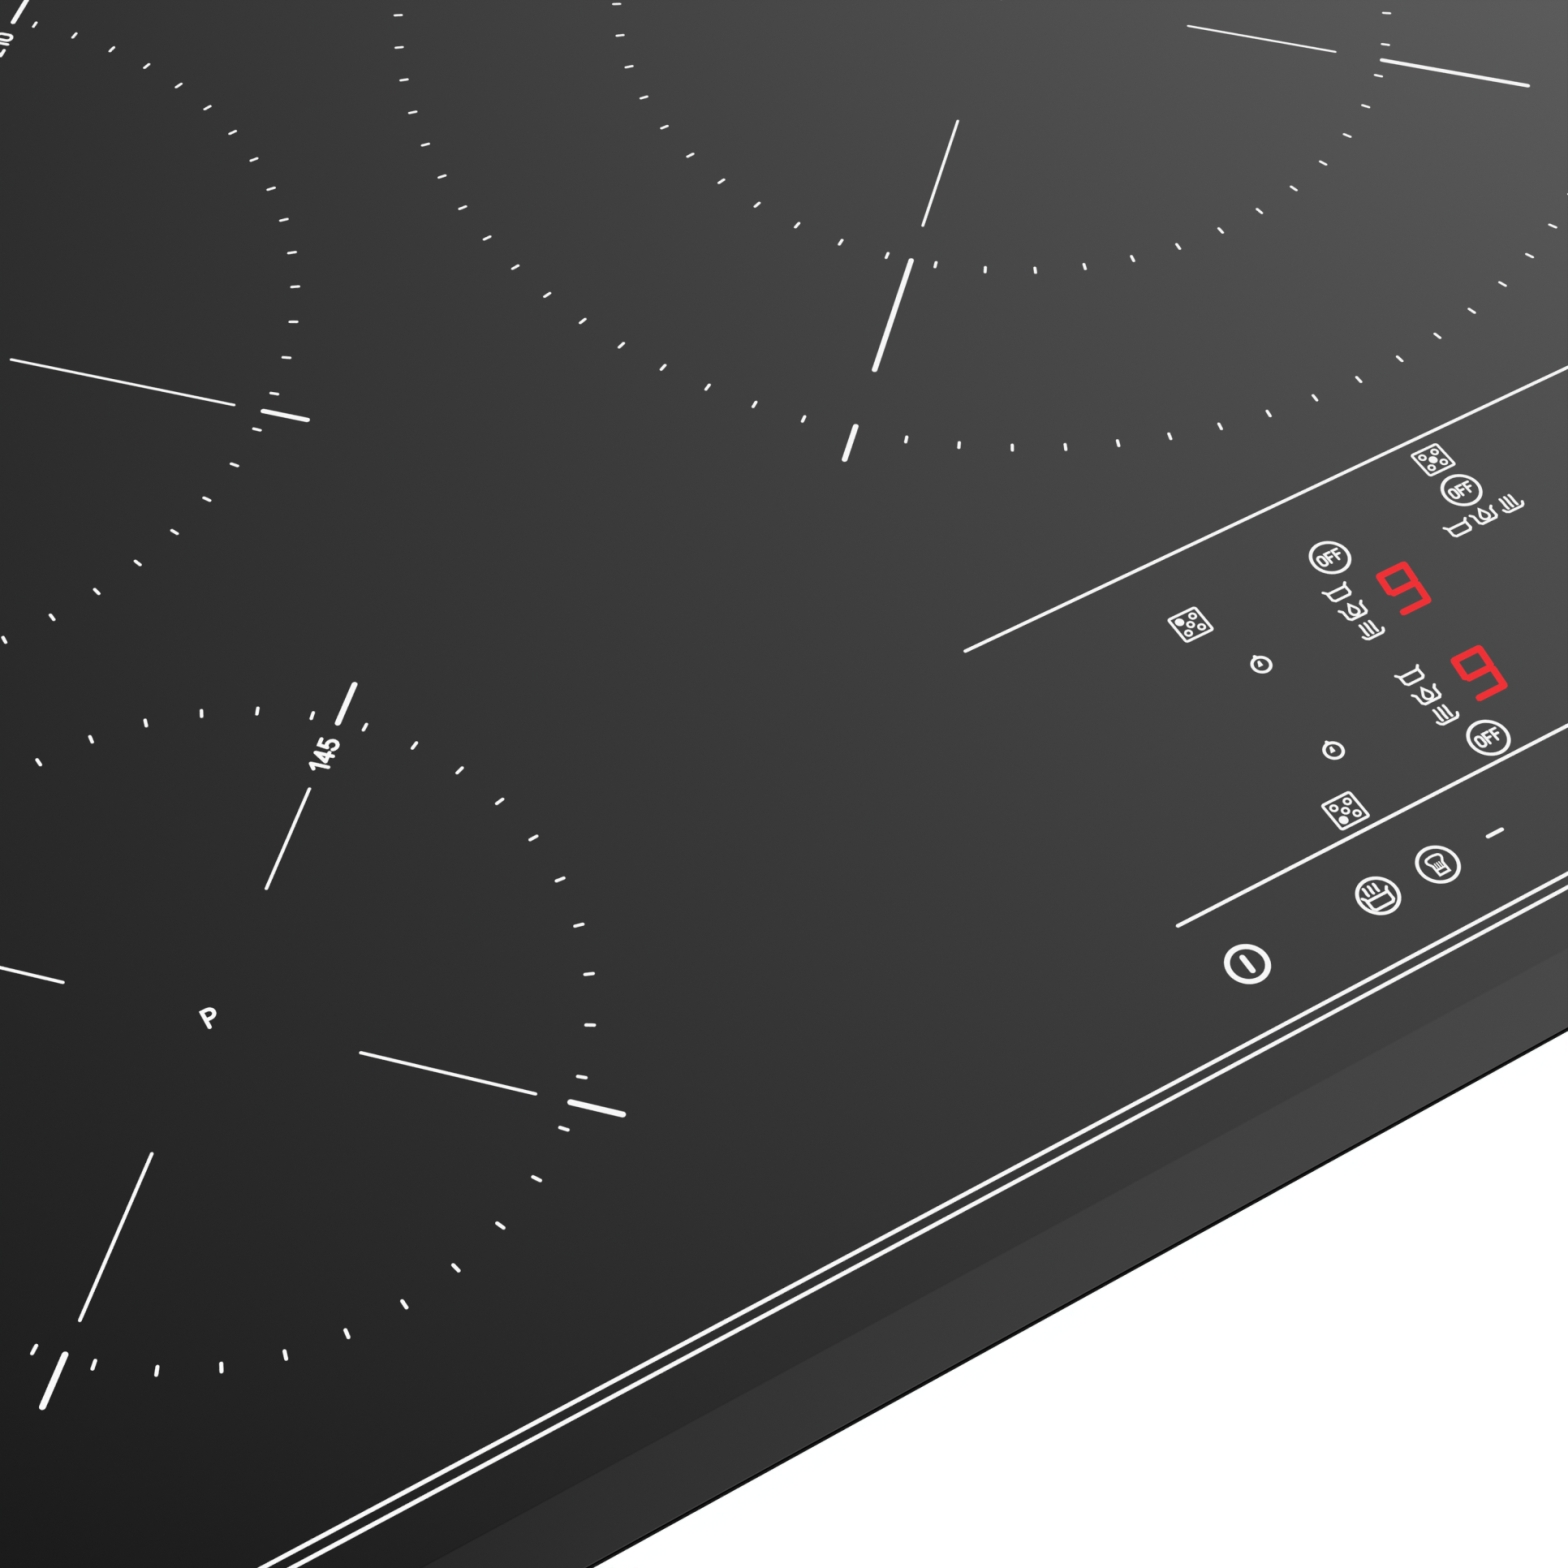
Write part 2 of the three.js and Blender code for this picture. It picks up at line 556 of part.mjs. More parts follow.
function terminalBlock() {
  const { x, y, z, ways, well, wellDepth } = TERMINAL_BLOCK;
  const body = block(x, y, z);
  const step = (x[1] - x[0]) / ways;
  const wells = Array.from({ length: ways }, (_, i) =>
    upright(well, [z[1] - wellDepth, z[1] + 1], x[0] + (i + 0.5) * step, (y[0] + y[1]) / 2, COARSE));
  return cut(body, ...wells);
}

function terminalCover() {
  const { gap, start, sheet, pin, axisY, axisZ, top } = COVER;
  const { x, frame } = TERMINAL;
  const inside = [x[0] - frame + EAR.width + gap, x[1] + frame - EAR.width - gap];
  const faceY = TRAY_Y + start;
  const plate = block(inside, [faceY, faceY + sheet], [axisZ - 1, top]);
  const pins = alongX(pin, [inside[0] - COVER_PIN_REACH, inside[1] + COVER_PIN_REACH], axisY, axisZ, 16);
  const middle = (inside[0] + inside[1]) / 2;
  const knockout = cut(
    alongY(KNOCKOUT.outer, [faceY + sheet - KNOCKOUT.depth, faceY + sheet + 1], middle, KNOCKOUT.z, MEDIUM),
    alongY(KNOCKOUT.inner, [faceY, faceY + sheet + 2], middle, KNOCKOUT.z, MEDIUM),
  );
  return cut(join(plate, pins), knockout);
}

// ---- Spring clips on the side walls, which grip the worktop cut-out ----
function wallClip(side) {
  const face = TRAY_X + 0.3;
  const out = (reach, z) => [side * (face + reach), z];
  const { sheet, footBottom, bend, reach, peak, tip, fold } = CLIP;
  const { inner, drop } = CLIP_SLANT;
  const profile = [
    out(0, footBottom),
    out(sheet, footBottom),
    out(sheet, bend - drop),
    out(reach, peak),
    out(reach - fold, tip),
    out(reach - fold - sheet, tip - drop),
    out(reach - inner, peak),
    out(0, bend),
  ];
  return profileAlongY(profile, [-CLIP.width / 2, CLIP.width / 2]);
}

function addClips() {
  for (const [name, side] of SIDES) {
    for (const [end, back] of [["front", -1], ["back", 1]]) {
      const mesh = addPiece(`worktop_clip_${name}_${end}`, wallClip(side), FINISH.springSteel);
      mesh.position.y = back * CLIP.y;
    }
  }
}

function addElectronics() {
  for (const [name, side] of SIDES) {
    addPiece(`power_board_${name}`, powerBoard(side), FINISH.circuitBoard);
    addPiece(`heatsink_${name}`, heatsink(side), FINISH.aluminium);
    const place = new THREE.Group();
    place.position.set(side * FAN.x, FAN.y, 0);
    cooktop.add(place);
    addPiece(`fan_housing_${name}`, fanHousing(side), FINISH.blackPlastic, place);
    addPiece(`fan_impeller_${name}`, fanImpeller(), FINISH.blackPlastic, place);
  }
  addPiece("touch_board_holder", touchBoardHolder(), FINISH.whitePlastic);
  addPiece("touch_board", touchBoard(), FINISH.circuitBoard);
  addPiece("terminal_box", terminalBox(), FINISH.blackPlastic);
  addPiece("terminal_block", terminalBlock(), FINISH.whitePlastic);
  addPiece("terminal_cover", terminalCover(), FINISH.blackPlastic);
}

addPiece("glass_top", glassTop(), FINISH.blackGlass);
addSeals();
addPiece("bottom_tray", bottomTray(), FINISH.zincSteel);
addBrackets();
addScrews();
addCoils();
addElectronics();
addClips();

export default cooktop;
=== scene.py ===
import math

import bmesh
import bpy
from mathutils import Matrix, Vector
from mathutils.geometry import delaunay_2d_cdt


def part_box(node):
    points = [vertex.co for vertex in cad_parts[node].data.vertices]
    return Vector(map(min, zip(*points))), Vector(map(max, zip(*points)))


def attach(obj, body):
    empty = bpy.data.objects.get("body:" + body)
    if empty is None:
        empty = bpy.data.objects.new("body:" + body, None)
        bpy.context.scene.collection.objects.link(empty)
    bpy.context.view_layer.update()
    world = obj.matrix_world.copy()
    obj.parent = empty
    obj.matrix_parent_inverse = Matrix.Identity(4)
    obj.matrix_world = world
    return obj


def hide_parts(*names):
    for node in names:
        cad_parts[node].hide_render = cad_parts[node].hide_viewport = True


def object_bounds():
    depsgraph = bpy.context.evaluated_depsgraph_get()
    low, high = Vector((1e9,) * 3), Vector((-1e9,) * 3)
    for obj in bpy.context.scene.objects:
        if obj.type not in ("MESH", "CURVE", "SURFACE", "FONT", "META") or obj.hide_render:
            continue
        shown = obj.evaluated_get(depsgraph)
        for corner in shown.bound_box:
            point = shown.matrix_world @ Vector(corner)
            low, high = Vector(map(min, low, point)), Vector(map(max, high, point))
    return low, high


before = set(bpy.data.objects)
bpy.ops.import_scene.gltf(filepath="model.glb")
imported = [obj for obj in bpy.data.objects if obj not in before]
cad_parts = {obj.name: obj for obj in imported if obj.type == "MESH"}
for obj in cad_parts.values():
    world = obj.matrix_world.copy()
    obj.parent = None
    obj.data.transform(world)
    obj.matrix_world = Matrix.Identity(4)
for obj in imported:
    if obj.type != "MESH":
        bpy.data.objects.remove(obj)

CAD_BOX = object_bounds()
MM = 0.001  # places and sizes below are in millimetres, and this turns them to metres

# ---- places, from the frame, in millimetres


def node_box(name):
    """Lowest and highest corner of a CAD node, in millimetres."""
    low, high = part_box(name)
    return low / MM, high / MM


def middle(name):
    low, high = node_box(name)
    return (low + high) / 2


GLASS_LOW, GLASS_HIGH = node_box("glass_top")
GLASS_TOP = GLASS_HIGH.z
FRONT = GLASS_LOW.y
HALF_WIDTH = GLASS_HIGH.x
ZONE_DIAMETERS = {
    "front_left": [145],
    "rear_left": [210],
    "centre": [190, 300],
    "front_right": [180],
    "rear_right": [180],
}
SIDES = {"left": -1, "right": 1}
ENDS = {"front": -1, "back": 1}
ZONE_CENTRES = {zone: middle(f"coil_carrier_{zone}") for zone in ZONE_DIAMETERS}

# ---- camera, light and floor

SENSOR_WIDTH = 36
VIEW_AZIMUTH = math.radians(-30.149)
VIEW_ELEVATION = math.radians(55.109)
VIEW_DISTANCE = 628.5
VIEW_TARGET = Vector((-170.1, -128.4, GLASS_TOP))
LENS = 69.637


def make_camera():
    back = Vector((
        math.sin(VIEW_AZIMUTH) * math.cos(VIEW_ELEVATION),
        -math.cos(VIEW_AZIMUTH) * math.cos(VIEW_ELEVATION),
        math.sin(VIEW_ELEVATION),
    ))
    data = bpy.data.cameras.new("camera")
    data.lens = LENS
    data.sensor_width = SENSOR_WIDTH
    data.clip_start = 0.01
    data.clip_end = 50
    camera = add_object("camera", data)
    camera.location = (VIEW_TARGET + back * VIEW_DISTANCE) * MM
    camera.rotation_mode = "QUATERNION"
    camera.rotation_quaternion = (-back).to_track_quat("-Z", "Y")
    bpy.context.scene.camera = camera


def linear(colour):
    """An sRGB hex colour as linear red, green, blue and alpha 1."""
    parts = [int(colour[i:i + 2], 16) / 255 for i in (1, 3, 5)]
    return [c / 12.92 if c <= 0.04045 else ((c + 0.055) / 1.055) ** 2.4 for c in parts] + [1]


def add(tree, kind, inputs=None, **settings):
    """Adds a node; an input takes a value, a hex colour, a node's output, or a node for its first output."""
    made = tree.nodes.new("ShaderNode" + kind)
    for name, value in settings.items():
        setattr(made, name, value)
    for name, value in (inputs or {}).items():
        if isinstance(value, bpy.types.Node):
            value = value.outputs[0]
        if isinstance(value, bpy.types.NodeSocket):
            tree.links.new(value, made.inputs[name])
        else:
            made.inputs[name].default_value = linear(value) if isinstance(value, str) else value
    return made


def add_object(name, data):
    made = bpy.data.objects.new(name, data)
    bpy.context.scene.collection.objects.link(made)
    return made


BAND_HEIGHT = 0.565  # how far back the bright band overhead lies: 0 is straight up, 1 is the horizon
BAND_FALL = 3.86  # how fast it falls off in front of it and behind it
BAND_LIGHT = 0.35
SIDE_SLOPE = (1.33, -0.9, 0)  # how the light overhead grows along X and Y
SIDE_RISE = 2.03  # how much brighter it gets towards the cook's right
WALL_SLOPE = (2.56, -1, 0)  # how the light of the wall in front grows along X and Y
WALL_LIGHT = 0.27
DARKEST = 0.12
BRIGHTEST = 1.7
SOFTBOX_SIDE = 1.6  # metres, as its place and the floor's sizes are
SOFTBOX_POWER = 22
SOFTBOX_PLACE = (-1.5, 0.1, 1.9)


def make_room():
    """A room that grows brighter to the cook's right, with a band of light overhead."""
    world = bpy.data.worlds.new("studio")
    world.use_nodes = True
    tree = world.node_tree
    tree.nodes.clear()
    direction = add(tree, "TexCoord").outputs["Generated"]
    place = add(tree, "SeparateXYZ", {"Vector": direction})
    slope = add(tree, "VectorMath", {0: direction, 1: SIDE_SLOPE}, operation="DOT_PRODUCT").outputs["Value"]
    side = add(tree, "Math", {0: slope, 1: SIDE_RISE}, operation="ADD")
    off = add(tree, "Math", {0: place.outputs[1], 1: BAND_HEIGHT}, operation="SUBTRACT")
    squared = add(tree, "Math", {0: off, 1: off}, operation="MULTIPLY")
    band = add(tree, "Math", {0: squared, 1: -BAND_FALL, 2: BAND_LIGHT}, operation="MULTIPLY_ADD")
    overhead = add(tree, "Math", {0: side, 1: place.outputs[0], 2: band}, operation="MULTIPLY_ADD")
    wall = add(tree, "VectorMath", {0: direction, 1: WALL_SLOPE}, operation="DOT_PRODUCT").outputs["Value"]
    front = add(tree, "Math", {0: wall, 1: WALL_LIGHT}, operation="ADD")
    most = add(tree, "Math", {0: overhead, 1: front}, operation="MAXIMUM")
    kept = add(tree, "Clamp", {"Value": most, "Min": DARKEST, "Max": BRIGHTEST})
    light = add(tree, "Background", {"Color": "#ffffff", "Strength": kept})
    backdrop = add(tree, "Background", {"Color": "#ffffff", "Strength": 1.0})
    seen = add(tree, "LightPath").outputs["Is Camera Ray"]
    add(tree, "OutputWorld", {"Surface": add(tree, "MixShader", {0: seen, 1: light, 2: backdrop})})
    bpy.context.scene.world = world


def make_softbox():
    data = bpy.data.lights.new("softbox", "AREA")
    data.size = SOFTBOX_SIDE
    data.energy = SOFTBOX_POWER
    softbox = add_object("softbox", data)
    softbox.location = SOFTBOX_PLACE
    softbox.rotation_mode = "QUATERNION"
    softbox.rotation_quaternion = softbox.location.to_track_quat("Z", "Y")
    bpy.context.scene.view_settings.view_transform = "Standard"


FLOOR_REACH = 6.0
FLOOR_GAP = 0.0005


def make_floor():
    """A pale floor that glows a little, and is clear when it is looked at from below."""
    material, tree = new_material("pale_floor")
    grain = add(tree, "TexNoise", {"Scale": 3.0, "Detail": 2.0})
    shade = add(tree, "MapRange", {"Value": grain, "To Min": 0.55, "To Max": 0.57})
    glow = add(tree, "Emission", {"Strength": shade})
    both = add(tree, "AddShader", {0: add(tree, "BsdfDiffuse", {"Color": "#f4f4f4"}), 1: glow})
    below = add(tree, "NewGeometry").outputs["Backfacing"]
    one_way = add(tree, "MixShader", {0: below, 1: both, 2: add(tree, "BsdfTransparent")})
    add(tree, "OutputMaterial", {"Surface": one_way})
    mesh = bpy.data.meshes.new("floor")
    low = CAD_BOX[0].z - FLOOR_GAP
    corners = [(x * FLOOR_REACH, y * FLOOR_REACH, low) for x, y in ((-1, -1), (1, -1), (1, 1), (-1, 1))]
    mesh.from_pydata(corners, [], [(0, 1, 2, 3)])
    mesh.materials.append(material)
    add_object("floor", mesh)


# ---- materials

NOISE_LOW = 0.3  # nearly all of a noise texture's values lie between these two
NOISE_HIGH = 0.7


def new_material(name):
    material = bpy.data.materials.new(name)
    material.use_nodes = True
    material.node_tree.nodes.clear()
    return material, material.node_tree


def finish(material, inputs):
    """Gives the material its shader, with these inputs."""
    tree = material.node_tree
    add(tree, "OutputMaterial", {"Surface": add(tree, "BsdfPrincipled", inputs)})
    return material


def uneven(tree, size, low, high, depth=0.0, stretch=(1, 1, 1)):
    """A value between low and high that varies over `size` millimetres, and a bump of that depth."""
    spot = add(tree, "TexCoord").outputs["Object"]
    place = add(tree, "Mapping", {"Vector": spot, "Scale": stretch})
    marks = add(tree, "TexNoise", {"Vector": place, "Scale": 1 / (size * MM), "Detail": 3.0})
    span = {"From Min": NOISE_LOW, "From Max": NOISE_HIGH, "To Min": low, "To Max": high}
    value = add(tree, "MapRange", {"Value": marks, **span})
    if not depth:
        return value, None
    return value, add(tree, "Bump", {"Height": marks, "Distance": depth * MM})


GLASS_IOR = 1.52


def polished_glass_ceramic():
    """Rolled and polished glass-ceramic: deep black with a clean, faintly satin reflection."""
    material, tree = new_material("polished_glass_ceramic")
    place = add(tree, "TexCoord").outputs["Object"]
    haze = add(tree, "TexNoise", {"Vector": place, "Scale": 1 / (33.3 * MM), "Detail": 4.0})
    rough = add(tree, "MapRange", {"Value": haze, "To Min": 0.10, "To Max": 0.15})
    grain = add(tree, "TexNoise", {"Vector": place, "Scale": 1 / (1.11 * MM), "Detail": 1.0})
    tint = add(tree, "MapRange", {"Value": grain, "To Min": 0.0008, "To Max": 0.0016})
    return finish(material, {"Base Color": tint, "Roughness": rough, "IOR": GLASS_IOR})


def ground_glass_edge():
    """Glass-ceramic where it was cut and ground: matt, and darker than the polished face."""
    material, tree = new_material("ground_glass_edge")
    rough, bump = uneven(tree, 0.4, 0.45, 0.65, 0.01)
    return finish(material, {
        "Base Color": "#020203",
        "Roughness": rough,
        "IOR": GLASS_IOR,
        "Specular IOR Level": 0.0,
        "Normal": bump,
    })


def closed_cell_foam():
    """Black closed-cell sealing tape: dull, with fine open pore holes that give it a soft grain, its black
    painted a touch darker down in the holes as painted shade.
    """
    material, tree = new_material("closed_cell_foam")
    pit_shade, bump = uneven(tree, 0.7, 0.001, 0.006, 0.12)
    return finish(material, {
        # painted shade: the colour follows the bump's noise, darker in the low pore holes
        "Base Color": pit_shade,
        "Roughness": 0.95,
        "Specular IOR Level": 0.02,
        "Normal": bump,
    })


def galvanised_sheet():
    """Hot-dip galvanised steel: grey zinc in flat crystals some 9 mm across, each with its own shine."""
    material, tree = new_material("galvanised_sheet")
    place = add(tree, "TexCoord").outputs["Object"]
    crystal = add(tree, "TexVoronoi", {"Vector": place, "Scale": 1 / (9 * MM)})
    each = add(tree, "SeparateColor", {"Color": crystal.outputs["Color"]})
    rough = add(tree, "MapRange", {"Value": each.outputs[0], "To Min": 0.38, "To Max": 0.5})
    tint = add(tree, "MixRGB", {"Fac": each.outputs[1], "Color1": "#acb1b4", "Color2": "#bbc0c3"})
    dents = uneven(tree, 2.5, 0, 1, 0.012)[1]
    return finish(material, {"Base Color": tint, "Metallic": 1.0, "Roughness": rough, "Normal": dents})


def metal(name, dark, light, roughness, size, depth, stretch=(1, 1, 1)):
    """A bare metal whose marks are `size` millimetres wide, long where they are stretched by rolling."""
    material, tree = new_material(name)
    rough, bump = uneven(tree, size, *roughness, depth, stretch)
    blotch = uneven(tree, size * 8, 0, 1, 0, stretch)[0]
    tint = add(tree, "MixRGB", {"Fac": blotch, "Color1": dark, "Color2": light})
    return finish(material, {"Base Color": tint, "Metallic": 1.0, "Roughness": rough, "Normal": bump})


def zinc_plated_bracket():
    """Pressed steel with a thin zinc plating: a cool, even grey with a faint rolled grain."""
    return metal("zinc_plated_bracket", "#9da2a6", "#b9bdc0", (0.36, 0.5), 0.5, 0.01, (1, 1, 0.2))


def bright_zinc_screw():
    """A cold-headed screw, bright zinc plated: shiny, with small tool marks."""
    return metal("bright_zinc_screw", "#b4b9bd", "#d0d4d7", (0.2, 0.34), 0.3, 0.008)


def rolled_spring_steel():
    """Hard rolled strip: darker than plain steel, with streaks along its length."""
    return metal("rolled_spring_steel", "#6f7275", "#8e9194", (0.26, 0.42), 0.25, 0.006, (1, 1, 0.08))


def mill_aluminium():
    """Aluminium sheet as it leaves the mill: pale and satin, with fine lines along the rolling."""
    return metal("mill_aluminium", "#c3c7ca", "#d8dbdd", (0.32, 0.46), 0.3, 0.006, (0.05, 1, 1))


def extruded_aluminium():
    """Aluminium pushed through a die: pale, with lines along its whole length."""
    return metal("extruded_aluminium", "#b9bec2", "#d3d6d9", (0.3, 0.44), 0.35, 0.015, (1, 0.03, 1))


STRAND_PITCH = 2.5  # coarser than real strands, so that they show
WAVE_CREST = math.pi / 5 / math.sqrt(3)  # from crest to crest of a diagonal wave at scale 1


def enamelled_litz_copper():
    """Copper strand wire in clear enamel, twisted together: warm brown-red with slanting strand lines, the
    copper painted darker down in the grooves between them and lighter on their crests, as painted shade.
    """
    material, tree = new_material("enamelled_litz_copper")
    strand_relief_and_shade = add(tree, "TexWave", {
        "Vector": add(tree, "TexCoord").outputs["Object"],
        "Scale": WAVE_CREST / (STRAND_PITCH * MM),
        "Distortion": 1.5,
        "Detail": 1.0,
    }, bands_direction="DIAGONAL").outputs["Fac"]
    return finish(material, {
        # painted shade: one wave gives both the bump of the strand lines and the colour, darker copper in
        # their grooves
        "Base Color": add(tree, "MixRGB", {"Fac": strand_relief_and_shade, "Color1": "#7d3518", "Color2": "#c7713c"}),
        "Metallic": 0.85,
        "Roughness": uneven(tree, 1.0, 0.28, 0.42)[0],
        "Coat Weight": 0.4,
        "Coat Roughness": 0.15,
        "Normal": add(tree, "Bump", {"Height": strand_relief_and_shade, "Distance": 0.2 * MM}),
    })


def plastic(name, dark, light, roughness, size, depth):
    """Moulded plastic with the fine eroded texture of its tool, `size` millimetres from grain to grain."""
    material, tree = new_material(name)
    rough, bump = uneven(tree, size, *roughness, depth)
    flow = uneven(tree, 35, 0, 1)[0]
    tint = add(tree, "MixRGB", {"Fac": flow, "Color1": dark, "Color2": light})
    return finish(material, {"Base Color": tint, "Roughness": rough, "IOR": 1.5, "Normal": bump})


def glass_filled_nylon():
    """Heat-proof nylon with glass fibre: a dry brown-black with pale flecks of fibre at its skin."""
    return plastic("glass_filled_nylon", "#2b2724", "#413a34", (0.55, 0.75), 0.6, 0.03)


def black_moulded_plastic():
    """Flame-retardant black plastic with a spark-eroded skin: soft grey highlights, no gloss."""
    return plastic("black_moulded_plastic", "#141517", "#1f2023", (0.42, 0.6), 0.5, 0.03)


def white_moulded_plastic():
    """Natural white plastic: slightly warm, with a low, even sheen."""
    return plastic("white_moulded_plastic", "#dcd9d0", "#ebe8e0", (0.4, 0.55), 0.6, 0.02)


def mica_sheet():
    """Pressed mica flakes: a pale gold-grey with flat glints 3 mm across."""
    material, tree = new_material("mica_sheet")
    place = add(tree, "TexCoord").outputs["Object"]
    flake = add(tree, "TexVoronoi", {"Vector": place, "Scale": 1 / (3 * MM)})
    each = add(tree, "SeparateColor", {"Color": flake.outputs["Color"]})
    rough = add(tree, "MapRange", {"Value": each.outputs[0], "To Min": 0.3, "To Max": 0.65})
    tint = add(tree, "MixRGB", {"Fac": each.outputs[1], "Color1": "#9a8a6a", "Color2": "#cbbd9c"})
    flat = uneven(tree, 3, 0, 1, 0.02)[1]
    return finish(material, {"Base Color": tint, "Roughness": rough, "IOR": 1.58, "Normal": flat})


def moulded_silicone():
    """Moulded silicone rubber: milky white, softly translucent and slightly dusty."""
    material, tree = new_material("moulded_silicone")
    dust, bump = uneven(tree, 1.2, 0.45, 0.65, 0.01)
    return finish(material, {
        "Base Color": uneven(tree, 4, 0.62, 0.74)[0],
        "Roughness": dust,
        "IOR": 1.41,
        "Subsurface Weight": 0.2,
        "Subsurface Scale": 0.5 * MM,
        "Normal": bump,
    })


BOARD_TOP = 8.6  # of the power boards
PARTS_TOP = 32  # nothing that stands on a power board reaches this height
TOUCH_BOARD_TOP = 44.6


def solder_masked_board():
    """Epoxy board under green solder mask, with dark sleeves and cases on the parts that stand on it."""
    material, tree = new_material("solder_masked_board")
    place = add(tree, "TexCoord").outputs["Object"]
    height = add(tree, "SeparateXYZ", {"Vector": place}).outputs[2]
    above = add(tree, "Math", {0: height, 1: BOARD_TOP * MM}, operation="GREATER_THAN")
    below = add(tree, "Math", {0: height, 1: PARTS_TOP * MM}, operation="LESS_THAN")
    touch = add(tree, "Math", {0: height, 1: TOUCH_BOARD_TOP * MM}, operation="GREATER_THAN")
    power = add(tree, "Math", {0: above, 1: below}, operation="MULTIPLY")
    parts = add(tree, "Math", {0: power, 1: touch}, operation="MAXIMUM")
    tracks = add(tree, "TexVoronoi", {"Vector": place, "Scale": 1 / (6 * MM)}, distance="MANHATTAN")
    mask = add(tree, "MixRGB", {"Fac": tracks.outputs["Distance"], "Color1": "#14472c", "Color2": "#2a7048"})
    kind = add(tree, "TexVoronoi", {"Vector": place, "Scale": 1 / (45 * MM)})
    hue = add(tree, "SeparateColor", {"Color": kind.outputs["Color"]})
    case = add(tree, "MixRGB", {"Fac": hue, "Color1": "#101318", "Color2": "#3a4452"})
    both = add(tree, "MixRGB", {"Fac": parts, "Color1": mask, "Color2": case})
    rough, bump = uneven(tree, 1.5, 0.3, 0.5, 0.03)
    return finish(material, {"Base Color": both, "Roughness": rough, "IOR": 1.5, "Normal": bump})


def white_ceramic_ink():
    """Screen-printed enamel fired into the glass: dense white with a dry surface."""
    material, tree = new_material("white_ceramic_ink")
    place = add(tree, "TexCoord").outputs["Object"]
    grit = add(tree, "TexNoise", {"Vector": place, "Scale": 1 / (0.333 * MM), "Detail": 2.0})
    shade = add(tree, "MapRange", {"Value": grit, "To Min": 0.88, "To Max": 0.94})
    return finish(material, {"Base Color": shade, "Roughness": 0.5, "IOR": 1.5})


def lit_display_red():
    """A lit seven-segment display seen through the glass: an even red glow."""
    material, tree = new_material("lit_display_red")
    place = add(tree, "TexCoord").outputs["Object"]
    cell = add(tree, "TexNoise", {"Vector": place, "Scale": 1 / (1.67 * MM), "Detail": 1.0})
    return finish(material, {
        "Base Color": "#1c0303",
        "Roughness": 0.4,
        "Specular IOR Level": 0.05,
        "Emission Color": "#f02a30",
        "Emission Strength": add(tree, "MapRange", {"Value": cell, "To Min": 0.93, "To Max": 1.0}),
    })


# ---- flat marks, in millimetres


def arc(centre, radius, start, end, steps):
    """Points along an arc, with the angles in degrees."""
    turn = (end - start) / steps
    return [
        (centre[0] + radius * math.cos(math.radians(start + i * turn)),
         centre[1] + radius * math.sin(math.radians(start + i * turn)))
        for i in range(steps + 1)
    ]


def rounded_outline(half_x, half_y, radius, steps=14):
    """A rectangle about the origin, with round corners."""
    points = []
    for sx, sy, start in ((1, -1, -90), (1, 1, 0), (-1, 1, 90), (-1, -1, 180)):
        points += arc((sx * (half_x - radius), sy * (half_y - radius)), radius, start, start + 90, steps)
    return points


SHARP_TURN = math.radians(100)
LONGEST_MITRE = 0.5  # cosine of half the sharpest turn that a mitre follows to its point
KEEP_INSIDE = 1  # the triangulation keeps only what lies inside an outline
CLOSEST = 0.0001  # points nearer than this are one


